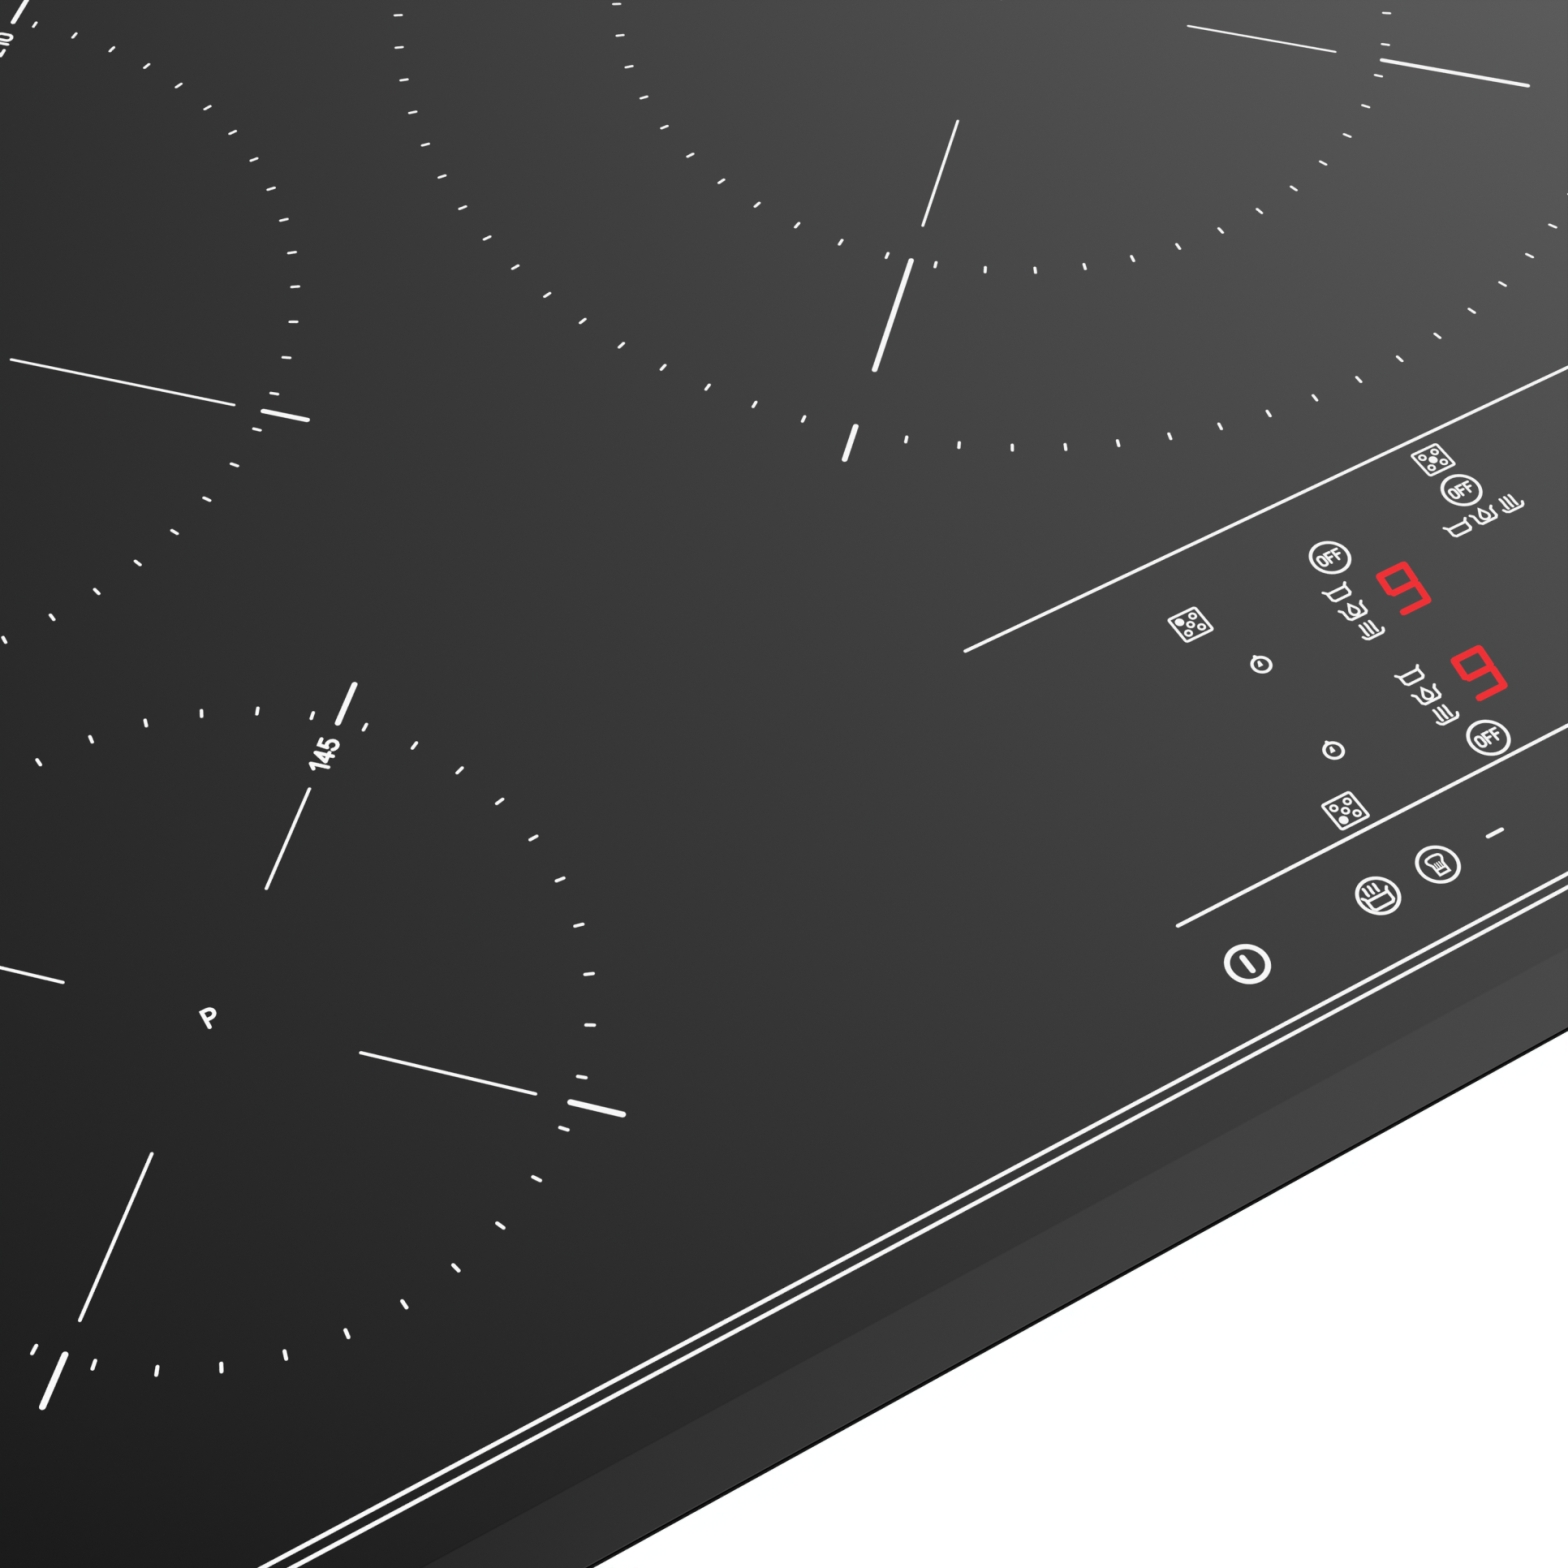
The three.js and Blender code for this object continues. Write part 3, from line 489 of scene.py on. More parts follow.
class Marks:
    """Flat outlines that are printed together as one thin piece."""

    def __init__(self):
        self.points = []
        self.faces = []

    def face(self, outline):
        first = len(self.points)
        self.points += [Vector(p).to_2d() for p in outline]
        self.faces.append(tuple(range(first, first + len(outline))))

    def band(self, outer, inner, closed):
        """The strip between two lines with as many points each, as triangles."""
        count = len(outer)
        for i in range(count if closed else count - 1):
            j = (i + 1) % count
            self.face([outer[i], outer[j], inner[j]])
            self.face([outer[i], inner[j], inner[i]])

    def dot(self, centre, radius, steps=20):
        self.face(arc(centre, radius, 0, 360, steps)[:-1])

    def ring(self, centre, outer, width, steps=64):
        self.band(*[arc(centre, radius, 0, 360, steps)[:-1] for radius in (outer, outer - width)], True)

    def line(self, path, width, closed=False, round_ends=True):
        """A line of even width along the path, mitred at gentle turns and round at sharp ones."""
        path = [Vector(p).to_2d() for p in path]
        half = width / 2
        if closed:
            self.strip(path, half, True)
            return
        if len(path) == 2 and round_ends:
            self.stadium(*path, half)
            return
        run = [path[0]]
        for before, point, after in zip(path, path[1:], path[2:]):
            run.append(point)
            if (point - before).angle(after - point) > SHARP_TURN:
                self.strip(run, half, False)
                self.dot(point, half, 12)
                run = [point]
        self.strip(run + [path[-1]], half, False)
        if round_ends:
            self.cap(path[0], path[0] - path[1], half)
            self.cap(path[-1], path[-1] - path[-2], half)

    def strip(self, path, half, closed):
        """The band that lies half a width to each side of the path."""
        count = len(path)
        left, right = [], []
        for i, point in enumerate(path):
            before = point - path[i - 1] if closed or i else path[1] - path[0]
            after = path[(i + 1) % count] - point if closed or i < count - 1 else before
            across = [Vector((-d.y, d.x)).normalized() for d in (before, after)]
            mitre = (across[0] + across[1]).normalized()
            reach = half / max(LONGEST_MITRE, mitre.dot(across[0]))
            left.append(point + mitre * reach)
            right.append(point - mitre * reach)
        self.band(left, right, closed)

    def stadium(self, start, end, radius, steps=8):
        """A straight stroke with round ends, as one outline."""
        angle = math.degrees(math.atan2(end.y - start.y, end.x - start.x))
        far = arc(end, radius, angle - 90, angle + 90, steps)
        self.face(far + arc(start, radius, angle + 90, angle + 270, steps))

    def cap(self, centre, outward, radius, steps=8):
        angle = math.degrees(math.atan2(outward.y, outward.x))
        self.face(arc(centre, radius, angle - 90, angle + 90, steps))

    def piece(self, name, material, slot, low, high):
        """The marks, joined where they cross, as a thin solid between two heights."""
        outlines = [face if self.area(face) > 0 else tuple(reversed(face)) for face in self.faces]
        points, _, triangles, _, _, sources = delaunay_2d_cdt(self.points, [], outlines, KEEP_INSIDE, CLOSEST)
        shape = bmesh.new()
        vertices = [shape.verts.new((p.x * MM, p.y * MM, low * MM)) for p in points]
        for corners, source in zip(triangles, sources):
            if source:
                shape.faces.new([vertices[i] for i in corners])
        loose = [vertex for vertex in shape.verts if not vertex.link_faces]
        bmesh.ops.delete(shape, geom=loose, context="VERTS")
        grown = bmesh.ops.extrude_face_region(shape, geom=shape.faces[:])
        moved = [g for g in grown["geom"] if isinstance(g, bmesh.types.BMVert)]
        bmesh.ops.translate(shape, verts=moved, vec=(0, 0, (high - low) * MM))
        bmesh.ops.recalc_face_normals(shape, faces=shape.faces[:])
        return place_piece(name, shape, material)

    def area(self, face):
        """Twice the area of an outline, positive where it runs anticlockwise."""
        return sum(self.points[i].cross(self.points[j]) for i, j in zip(face, face[1:] + face[:1]))


def place_piece(name, shape, material, body="root", replaces=()):
    """Makes an object of a bmesh in metres, and rides it on a body."""
    mesh = bpy.data.meshes.new(name)
    shape.to_mesh(mesh)
    shape.free()
    for one in material if isinstance(material, list) else [material]:
        mesh.materials.append(one)
    piece = add_object(name, mesh)
    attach(piece, body)
    if replaces:
        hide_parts(*replaces)
    return piece


# ---- print on the glass

INK_SUNK = 0.02
INK_PROUD = 0.05
TICK_LENGTH = 1.6  # between the middles of its round ends
TICK_WIDTH = 0.68
RING_OUTSET = 2.2  # the ring of ticks lies just outside the nominal circle
THIN = 0.65
THICK = 1.22


def placed(points, centre, angle=0):
    """Points turned about the origin by an angle in degrees, then moved to the centre."""
    turn = Matrix.Rotation(math.radians(angle), 2)
    return [turn @ Vector(p) + Vector(centre).to_2d() for p in points]


def print_piece(marks, name):
    marks.piece(name, WHITE_INK, "white_enamel_print", GLASS_TOP - INK_SUNK, GLASS_TOP + INK_PROUD)


def ring_of_ticks(marks, centre, radius, count, first, skip=()):
    for i in range(count):
        angle = first + i * 360 / count
        if any(abs((angle - s + 180) % 360 - 180) < 1 for s in skip):
            continue
        radial(marks, centre, angle, radius - TICK_LENGTH / 2, radius + TICK_LENGTH / 2, TICK_WIDTH)


def radial(marks, centre, angle, inner, outer, width):
    marks.line(placed([(inner, 0), (outer, 0)], centre, angle), width)


# Characters drawn as strokes one unit high, each with the width of its box.
STROKES = {
    "0": (0.54, [(arc((0.27, 0.27), 0.27, 180, 360, 10) + arc((0.27, 0.73), 0.27, 0, 180, 10), True)]),
    "1": (0.34, [([(0.0, 0.74), (0.30, 1.0), (0.30, 0.0)], False)]),
    "2": (0.54, [([*arc((0.27, 0.72), 0.28, 165, -38, 12), (0.0, 0.0), (0.56, 0.0)], False)]),
    "3": (0.54, [
        (arc((0.26, 0.75), 0.25, 160, -90, 12), False),
        (arc((0.26, 0.26), 0.27, 95, -160, 12), False),
    ]),
    "4": (0.56, [([(0.60, 0.27), (-0.02, 0.27), (0.42, 1.0), (0.42, 0.0)], False)]),
    "5": (0.54, [([(0.50, 1.0), (0.10, 1.0), (0.04, 0.50), *arc((0.26, 0.30), 0.30, 118, -155, 13)], False)]),
    "8": (0.54, [
        (arc((0.27, 0.76), 0.23, 0, 360, 16)[:-1], True),
        (arc((0.27, 0.27), 0.27, 0, 360, 16)[:-1], True),
    ]),
    "9": (0.54, [([*arc((0.27, 0.70), 0.28, 0, 360, 16), (0.52, 0.30), (0.26, 0.0)], False)]),
    "P": (0.56, [([(0.0, 0.0), (0.0, 1.0), *arc((0.28, 0.73), 0.27, 90, -90, 10), (0.0, 0.46)], False)]),
    "F": (0.46, [([(0.0, 0.0), (0.0, 1.0), (0.48, 1.0)], False), ([(0.0, 0.52), (0.40, 0.52)], False)]),
}
STROKES["O"] = STROKES["0"]
LETTER_GAP = 0.29


def lettering(marks, words, centre, height, width, angle=0):
    """Words centred on a point; height is that of the strokes' middle line."""
    pen = -sum(STROKES[c][0] + LETTER_GAP for c in words) / 2 + LETTER_GAP / 2
    for character in words:
        advance, strokes = STROKES[character]
        for path, closed in strokes:
            shifted = [((x + pen) * height, (y - 0.5) * height) for x, y in path]
            marks.line(placed(shifted, centre, angle), width, closed)
        pen += advance + LETTER_GAP


ZONE_TICKS = {145: (40, 4.5), 180: (48, 3.75), 190: (52, -90), 210: (60, 0), 300: (80, 0)}
DIAGONALS = (45, 135, 225, 315)
NUMBERED = 45  # the diagonal that the numbers stand on
TEXT_ROOM = 10.3  # how much shorter the line is where it stops for the number
NUMBER_HEIGHT = 3.85
NUMBER_STROKE = 0.8
P_HEIGHT = 3.9
P_STROKE = 0.78

# How far from the middle the thin line of a diagonal starts, by the innermost diameter.
THIN_START = {145: 31.2, 180: 38.5, 190: 48.2, 210: 45.0}
# How far inside (less than 0) or outside a circle each stroke of a diagonal starts or stops.
THIN_STOP = -5.6
THICK_RUN = (1.5, 12)
DOUBLE_THIN_STOP = -9.7
DOUBLE_RUN = (2.1, -16.9)  # from the inner circle to the outer one
DOUBLE_OUTER_RUN = (0.8, 11.1)
NUMBER_PLACE = -7
OUTER_NUMBER_PLACE = -10


def print_diagonal(marks, centre, angle, diameters):
    """One line of the cross, broken at each circle and shorter where a number stands in it."""
    short = TEXT_ROOM if angle == NUMBERED else 0
    inner = diameters[0] / 2
    outer = diameters[-1] / 2
    stop = THIN_STOP if inner == outer else DOUBLE_THIN_STOP
    radial(marks, centre, angle, THIN_START[diameters[0]], inner + stop - short, THIN)
    if inner == outer:
        radial(marks, centre, angle, inner + THICK_RUN[0], inner + THICK_RUN[1], THICK)
    else:
        radial(marks, centre, angle, inner + DOUBLE_RUN[0], outer + DOUBLE_RUN[1] - short, THICK)
        radial(marks, centre, angle, outer + DOUBLE_OUTER_RUN[0], outer + DOUBLE_OUTER_RUN[1], THICK)


def print_zone(zone):
    """Rings of ticks, four diagonal lines broken at each ring, and the zone's size in millimetres."""
    marks = Marks()
    centre = ZONE_CENTRES[zone]
    diameters = ZONE_DIAMETERS[zone]
    for diameter in diameters:
        count, first = ZONE_TICKS[diameter]
        crossed = DIAGONALS if diameter > diameters[0] else ()
        ring_of_ticks(marks, centre, diameter / 2 + RING_OUTSET, count, first, crossed)
    for angle in DIAGONALS:
        print_diagonal(marks, centre, angle, diameters)
    for diameter in diameters:
        inset = NUMBER_PLACE if diameter == diameters[0] else OUTER_NUMBER_PLACE
        spot = placed([(diameter / 2 + inset, 0)], centre, NUMBERED)[0]
        lettering(marks, str(diameter), spot, NUMBER_HEIGHT, NUMBER_STROKE, NUMBERED)
    lettering(marks, "P", centre, P_HEIGHT, P_STROKE)
    print_piece(marks, f"print_zone_{zone}")


KEY_RADIUS = 4.62
KEY_LINE = 0.75
PAN_LINE = 0.62
SIGN_LINE = 0.85
STEAM_PLACES = (-1.25, 0, 1.25)
FRONT_LINES = (27.5, 24.9)  # behind the front edge
PANEL_REACH = 119.2
PANEL_TOP_LINE = -117.96
PANEL_LOW_LINE = -198.13
LINE = 0.8
LINE_INSET = 1  # the front lines stop this far from the sides of the glass


def print_lines():
    marks = Marks()
    for inset in FRONT_LINES:
        reach = HALF_WIDTH - LINE_INSET
        marks.line([(-reach, FRONT + inset), (reach, FRONT + inset)], LINE)
    for y in (PANEL_TOP_LINE, PANEL_LOW_LINE):
        marks.line([(-PANEL_REACH, y), (PANEL_REACH, y)], LINE)
    print_piece(marks, "print_lines")


PLAN_EDGE = 3.45
PLAN_CORNER = 0.45
ZONE_STEP = 1.7
FILLED_RADIUS = 1.0
OPEN_RADIUS = 0.95
OPEN_LINE = 0.5
PLAN_SPOTS = {
    "centre": (0, 0),
    "rear_left": (-ZONE_STEP, ZONE_STEP),
    "rear_right": (ZONE_STEP, ZONE_STEP),
    "front_left": (-ZONE_STEP, -ZONE_STEP),
    "front_right": (ZONE_STEP, -ZONE_STEP),
}


def zone_plan(marks, centre, filled):
    """A plan of the five zones, with one of them filled in."""
    outline = rounded_outline(PLAN_EDGE, PLAN_EDGE, PLAN_CORNER, 4)
    marks.line(placed(outline, centre), PAN_LINE, closed=True)
    for zone, spot in PLAN_SPOTS.items():
        at = placed([spot], centre)[0]
        if zone == filled:
            marks.dot(at, FILLED_RADIUS)
        else:
            marks.ring(at, OPEN_RADIUS, OPEN_LINE, 20)


def off_key(marks, centre):
    marks.ring(centre, KEY_RADIUS, KEY_LINE)
    lettering(marks, "OFF", (centre[0] - 0.05, centre[1]), 2.65, 0.58)


def timer_mark(marks, centre):
    """A stopwatch: a round case, a pointed push button and a wedge for its hands."""
    marks.ring(centre, 2.35, 0.7, 28)
    marks.face(placed([(-0.55, 2.2), (0.55, 2.2), (0.2, 2.85), (-0.2, 2.85)], centre))
    marks.face(placed([(-0.9, -0.3), (0.26, -0.3), (0.26, 1.1), (-0.26, 1.1)], centre))


def pan_walls(rim, wall, floor, flare):
    """The section of a pan: a flat floor and two walls that flare at the rim."""
    half = [(wall - 0.5, floor), (wall, floor + 0.5), (wall, rim - 0.6), (wall + flare, rim)]
    return [(-x, y) for x, y in reversed(half)] + half


DROP = [(0, 2.2), (0.45, 1.4), (0.85, 0.7), *arc((0, 0.1), 1.02, 15, -195, 14), (-0.85, 0.7), (-0.45, 1.4)]


def pan_mark(marks, centre):
    marks.line(placed(pan_walls(1.75, 2.35, -1.45, 0.55), centre), PAN_LINE)
    marks.line(placed([(-2.35, 0.9), (2.35, 0.9)], centre), PAN_LINE, round_ends=False)


def melt_mark(marks, centre):
    marks.line(placed(pan_walls(1.7, 2.35, -1.5, 0.55), centre), PAN_LINE)
    marks.line(placed(DROP, centre), 0.58, closed=True)


def warm_mark(marks, centre):
    low_pan = [(-2.6, -0.75), (-2.3, -1.4), (-1.8, -1.75), (1.8, -1.75), (2.3, -1.4), (2.6, -0.75)]
    marks.line(placed(low_pan, centre), PAN_LINE)
    for x in STEAM_PLACES:
        marks.line(placed(steam(x - 0.1, -0.85, 2.15), centre), PAN_LINE)


def steam(x, low, high):
    """A wisp of steam: nearly straight, with a slight double bend."""
    rise = high - low
    return [(x - 0.05 * math.sin(2 * math.pi * t / 6), low + rise * t / 6) for t in range(7)]


def heat_key(marks, centre):
    marks.ring(centre, KEY_RADIUS, KEY_LINE)
    pan = (centre[0] - 0.25, centre[1])
    marks.line(placed(pan_walls(0.95, 2.55, -2.6, 0.45), pan), PAN_LINE)
    marks.line(placed([(-2.55, -0.1), (2.55, -0.1)], pan), PAN_LINE, round_ends=False)
    for x in STEAM_PLACES:
        marks.line(placed(steam(x - 0.2, 0.95, 2.75), pan), PAN_LINE)


def chef_key(marks, centre):
    """A cook's hat with a pleated cloth and a flat band."""
    marks.ring(centre, KEY_RADIUS, KEY_LINE)
    side = [(1.2, -2.3), (1.2, 0.1), *arc((1.05, 1.35), 0.78, -40, 95, 8), (0.45, 2.25)]
    hat = side + [(-x, y) for x, y in reversed(side)]
    marks.line(placed(hat, centre), 0.52, closed=True)
    marks.line(placed([(-1.3, -1.05), (1.3, -1.05)], centre), 0.42, round_ends=False)
    for x in (-0.55, 0, 0.55):
        marks.line(placed([(x, -1.05), (x, 0.55)], centre), 0.24, round_ends=False)


def power_key(marks, centre):
    marks.ring(centre, 4.65, 1.15)
    marks.line(placed([(0, -1.75), (0, 1.75)], centre), 1.2)


def lock_key(marks, centre):
    marks.ring(centre, KEY_RADIUS, KEY_LINE)
    marks.line(placed([(-1.5, -2.1), (1.5, -2.1), (1.5, 0.2), (-1.5, 0.2)], centre), PAN_LINE, closed=True)
    marks.line(placed([(-0.95, 0.5), *arc((0, 1.3), 0.95, 180, 0, 8), (0.95, 0.5)], centre), 0.55)


def pause_key(marks, centre):
    marks.ring(centre, KEY_RADIUS, KEY_LINE)
    for x in (-0.9, 0.9):
        marks.line(placed([(x, -1.5), (x, 1.5)], centre), SIGN_LINE)


def minus_key(marks, centre):
    marks.line(placed([(-1.8, 0.35), (1.8, 0.35)], centre), SIGN_LINE)


def plus_key(marks, centre):
    minus_key(marks, centre)
    marks.line(placed([(0, -1.45), (0, 2.15)], centre), SIGN_LINE)


KEY_ROW = -212.5
BOTTOM_KEYS = [(-112.3, power_key), (-80.15, heat_key), (-65.1, chef_key), (-50.3, minus_key),
               (50.3, plus_key), (65.1, lock_key), (80.15, pause_key)]
PAN_MARKS = (pan_mark, melt_mark, warm_mark)
ROWS = {  # for each row of zones: the zone plan and the OFF key, the timer, and the three pan marks
    "rear": (-136.2, -152.7, (-145.2, -151.05, -156.9)),
    "front": (-192.3, -178.7, (-171.3, -177.15, -183.0)),
}
PLAN_SIDE = 73.5
TIMER_SIDE = 66.6
PAN_SIDE = 40.85
OFF_SIDE = 36.6
MIDDLE_PLAN = (0, -124.9)
MIDDLE_OFF = (0.05, -135.2)
MIDDLE_PANS = -143.8
MIDDLE_PAN_STEP = 7.1


def print_controls():
    marks = Marks()
    for x, key in BOTTOM_KEYS:
        key(marks, (x, KEY_ROW))
    for row, (plan, timer, pans) in ROWS.items():
        for name, side in SIDES.items():
            zone_plan(marks, (side * PLAN_SIDE, plan), f"{row}_{name}")
            timer_mark(marks, (side * TIMER_SIDE, timer))
            off_key(marks, (side * OFF_SIDE, plan))
            for y, mark in zip(pans, PAN_MARKS):
                mark(marks, (side * PAN_SIDE, y))
    zone_plan(marks, MIDDLE_PLAN, "centre")
    off_key(marks, MIDDLE_OFF)
    for step, mark in zip((-1, 0, 1), PAN_MARKS):
        mark(marks, (step * MIDDLE_PAN_STEP, MIDDLE_PANS))
    print_piece(marks, "print_controls")


# Seven-segment figures: centre lines of the segments in a cell one wide and two high.
SEGMENTS = {
    "top": ((0, 2), (1, 2)), "upper_left": ((0, 1), (0, 2)), "upper_right": ((1, 1), (1, 2)),
    "middle": ((0, 1), (1, 1)), "lower_left": ((0, 0), (0, 1)), "lower_right": ((1, 0), (1, 1)),
    "bottom": ((0, 0), (1, 0)),
}
NINE = ("top", "upper_left", "upper_right", "middle", "lower_right", "bottom")
DIGIT_LEAN = 0.142
DIGIT_CELL = (6.7, 5.3)
DIGIT_STROKE = 1.6
DIGIT_SIDE = 27.85
DIGIT_ROWS = {"rear": -151.15, "front": -177.75}

# How a segment ends, in half widths: its tip's place, the tip's width, and where its full width starts.
CORNER_END = (-0.75, 0.6, 0)
MIDDLE_END = (-0.1, 0.45, 0.4)


def digit(marks, centre, lit):
    """The lit segments of one figure, leaning right, with small notches where three of them meet."""
    for name in lit:
        places = SEGMENTS[name]
        start, end = [Vector(((x - 0.5) * DIGIT_CELL[0], (y - 1) * DIGIT_CELL[1])) for x, y in places]
        along = (end - start).normalized() * DIGIT_STROKE / 2
        across = Vector((-along.y, along.x))
        bar = []
        for point, place, inward in ((start, places[0], along), (end, places[1], -along)):
            tip, narrow, full = MIDDLE_END if place[1] == 1 else CORNER_END
            side = across if inward == along else -across
            bar += [point + inward * full - side, point + inward * tip - side * narrow,
                    point + inward * tip + side * narrow, point + inward * full + side]
        marks.face([(p.x + p.y * DIGIT_LEAN + centre[0], p.y + centre[1]) for p in bar])


def display_digits():
    for name, side in SIDES.items():
        for row, y in DIGIT_ROWS.items():
            marks = Marks()
            digit(marks, (side * DIGIT_SIDE, y), NINE)
            marks.piece(f"display_digit_{row}_{name}", RED_DISPLAY, "red_display",
                        GLASS_TOP - INK_SUNK, GLASS_TOP + INK_PROUD / 2)


# ---- glass

FACET_WIDTH = 13.5
FACET_START = FRONT + FACET_WIDTH
FACET_SLOPE = 2.6 / FACET_WIDTH
FACET_SOFT = 0.2  # half the width over which the facet's top edge is polished round
FACET_CUTS = 4  # cuts across that half width
EDGE_ROUND = 0.5  # along the underside
TOP_ROUND = 0.2
GLASS_CORNER = 6.0


def top_height(y):
    """Height of the glass at a distance from front to back: level, then falling evenly to the front edge."""
    past = FACET_START + FACET_SOFT - y
    if past <= 0:
        return GLASS_TOP
    if past < 2 * FACET_SOFT:
        return GLASS_TOP - FACET_SLOPE * past * past / (4 * FACET_SOFT)
    return GLASS_TOP - FACET_SLOPE * (FACET_START - y)


def edge_section():
    """Inset and height round the edge of the plate, from the underside to the top."""
    bottom = GLASS_LOW.z
    quarter = [math.radians(a) for a in (0, 30, 60, 90)]
    lower = [(EDGE_ROUND * (1 - math.sin(a)), bottom + EDGE_ROUND * (1 - math.cos(a))) for a in quarter]
    upper = [(TOP_ROUND * (1 - math.sin(a)), GLASS_TOP - TOP_ROUND * (1 - math.cos(a))) for a in quarter]
    return lower + upper[::-1]


def grind_facet(shape):
    """Cuts the plate across where the facet starts, and brings its front down along the slope."""
    for step in range(-FACET_CUTS, FACET_CUTS + 1):
        cut = (FACET_START + FACET_SOFT * step / FACET_CUTS) * MM
        everything = shape.verts[:] + shape.edges[:] + shape.faces[:]
        bmesh.ops.bisect_plane(shape, geom=everything, plane_co=(0, cut, 0), plane_no=(0, 1, 0))
    level = (GLASS_LOW.z + EDGE_ROUND) * MM
    full = GLASS_TOP * MM - level
    for vertex in shape.verts:
        above = vertex.co.z - level
        if above > 0:
            vertex.co.z = level + above * (top_height(vertex.co.y / MM) * MM - level) / full


def glass_plate():
    """The glass with its ground front facet, rounded corners and rounded edges."""
    shape = bmesh.new()
    loops = []
    for inset, z in edge_section():
        outline = rounded_outline(HALF_WIDTH - inset, GLASS_HIGH.y - inset, GLASS_CORNER - inset)
        loops.append([shape.verts.new((x * MM, y * MM, z * MM)) for x, y in outline])
    ground = len(loops) // 2
    for step, (lower, upper) in enumerate(zip(loops, loops[1:])):
        for i in range(len(lower)):
            j = (i + 1) % len(lower)
            face = shape.faces.new((lower[i], lower[j], upper[j], upper[i]))
            face.material_index = 1 if step < ground else 0
    shape.faces.new(list(reversed(loops[0])))
    shape.faces.new(loops[-1])
    grind_facet(shape)
    bmesh.ops.recalc_face_normals(shape, faces=shape.faces[:])
    for face in shape.faces:
        face.smooth = True
    piece = place_piece("glass_plate", shape, [BLACK_GLASS, GLASS_EDGE],
                        replaces=["glass_top"])
    piece.modifiers.new("even_faces", "WEIGHTED_NORMAL")


# ---- sheet metal


def skin(shape, loops):
    """A closed skin over a row of loops in millimetres: quads from loop to loop, and a face at each end."""
    rows = [[shape.verts.new(Vector(p) * MM) for p in loop] for loop in loops]
    for lower, upper in zip(rows, rows[1:]):
        for i in range(len(lower)):
            j = (i + 1) % len(lower)
            shape.faces.new((lower[i], lower[j], upper[j], upper[i]))
    shape.faces.new(list(reversed(rows[0])))
    shape.faces.new(rows[-1])
    bmesh.ops.recalc_face_normals(shape, faces=shape.faces[:])


def soften(piece, sharp=35):
    """Smooth shading with the edges that are sharper than this angle left crisp."""
    piece.data.shade_smooth()
    piece.data.set_sharp_from_angle(angle=math.radians(sharp))


def carve(piece, cutter):
    """Cuts the cutter's shape out of the piece for good."""
    mesh = bpy.data.meshes.new("cutter")
    cutter.to_mesh(mesh)
    cutter.free()
    tool = add_object("cutter", mesh)
    step = piece.modifiers.new("carve", "BOOLEAN")
    step.object = tool
    step.solver = "EXACT"
    graph = bpy.context.evaluated_depsgraph_get()
    carved = bpy.data.meshes.new_from_object(piece.evaluated_get(graph))
    piece.modifiers.clear()
    piece.data = carved
    bpy.data.objects.remove(tool)


def prism(shape, outline, low, high):
    """An upright prism on an outline."""
    skin(shape, [[(x, y, z) for x, y in outline] for z in (low, high)])


def capsule(x, y, width, length):
    """The outline of a slot with round ends that lies along Y."""
    straight = (length - width) / 2
    return arc((x, y + straight), width / 2, 0, 180, 8) + arc((x, y - straight), width / 2, 180, 360, 8)


TRAY_LIP = 3
SHEET = 1
BEND = 3  # outer radius of the fold between floor and wall
LIP_BEND = 0.6
FLOOR_INSET = 3.7  # where the flat floor starts
TRAY_CORNER = 5
SLOT_WIDTH = 3.6
SLOT_PITCH = 8
EXHAUST_SLOTS = 20
EXHAUST_LENGTH = 22
EXHAUST_PLACE = (285, -217)
INTAKE_RADIUS = 26
CUT_DEPTH = SHEET + 1
WINDOW_INSET = 5.6  # from each end of the mains box
WINDOW_MARGIN = 2.6  # from its floor and its top
WINDOW_REACH = 8  # how far in from the rim of the lip the cut goes


def tray_section():
    """Inset from the wall's outer face and height, from the floor's underside round to its top."""
    top = node_box("bottom_tray")[1].z
    steps = [math.radians(a) for a in range(0, 91, 15)]
    outer = [(BEND - BEND * math.sin(a), BEND - BEND * math.cos(a)) for a in steps]
    under = top - SHEET
    lip = [(0, under - LIP_BEND), (-LIP_BEND / 3, under - LIP_BEND / 4), (-LIP_BEND, under),
           (-TRAY_LIP, under), (-TRAY_LIP, top), (SHEET - LIP_BEND, top),
           (SHEET - LIP_BEND / 4, top - LIP_BEND / 3), (SHEET, top - LIP_BEND)]
    inner = BEND - SHEET
    inside = [(BEND - inner * math.sin(a), BEND - inner * math.cos(a)) for a in reversed(steps)]
    return [(FLOOR_INSET, 0)] + outer + lip + inside + [(FLOOR_INSET, SHEET)]


def floor_slots(side):
    """Outlines of the exhaust slots and the round field of intake slots on one side of the tray."""
    first = side * EXHAUST_PLACE[0] - (EXHAUST_SLOTS - 1) * SLOT_PITCH / 2
    slots = []
    for i in range(EXHAUST_SLOTS):
        slots.append(capsule(first + i * SLOT_PITCH, EXHAUST_PLACE[1], SLOT_WIDTH, EXHAUST_LENGTH))
    fan = middle("fan_impeller_left" if side < 0 else "fan_impeller_right")
    rows = int(INTAKE_RADIUS / SLOT_PITCH)
    for i in range(-rows, rows + 1):
        length = 2 * math.sqrt(INTAKE_RADIUS ** 2 - (i * SLOT_PITCH) ** 2)
        slots.append(capsule(fan.x + i * SLOT_PITCH, fan.y, SLOT_WIDTH, length))
    return slots


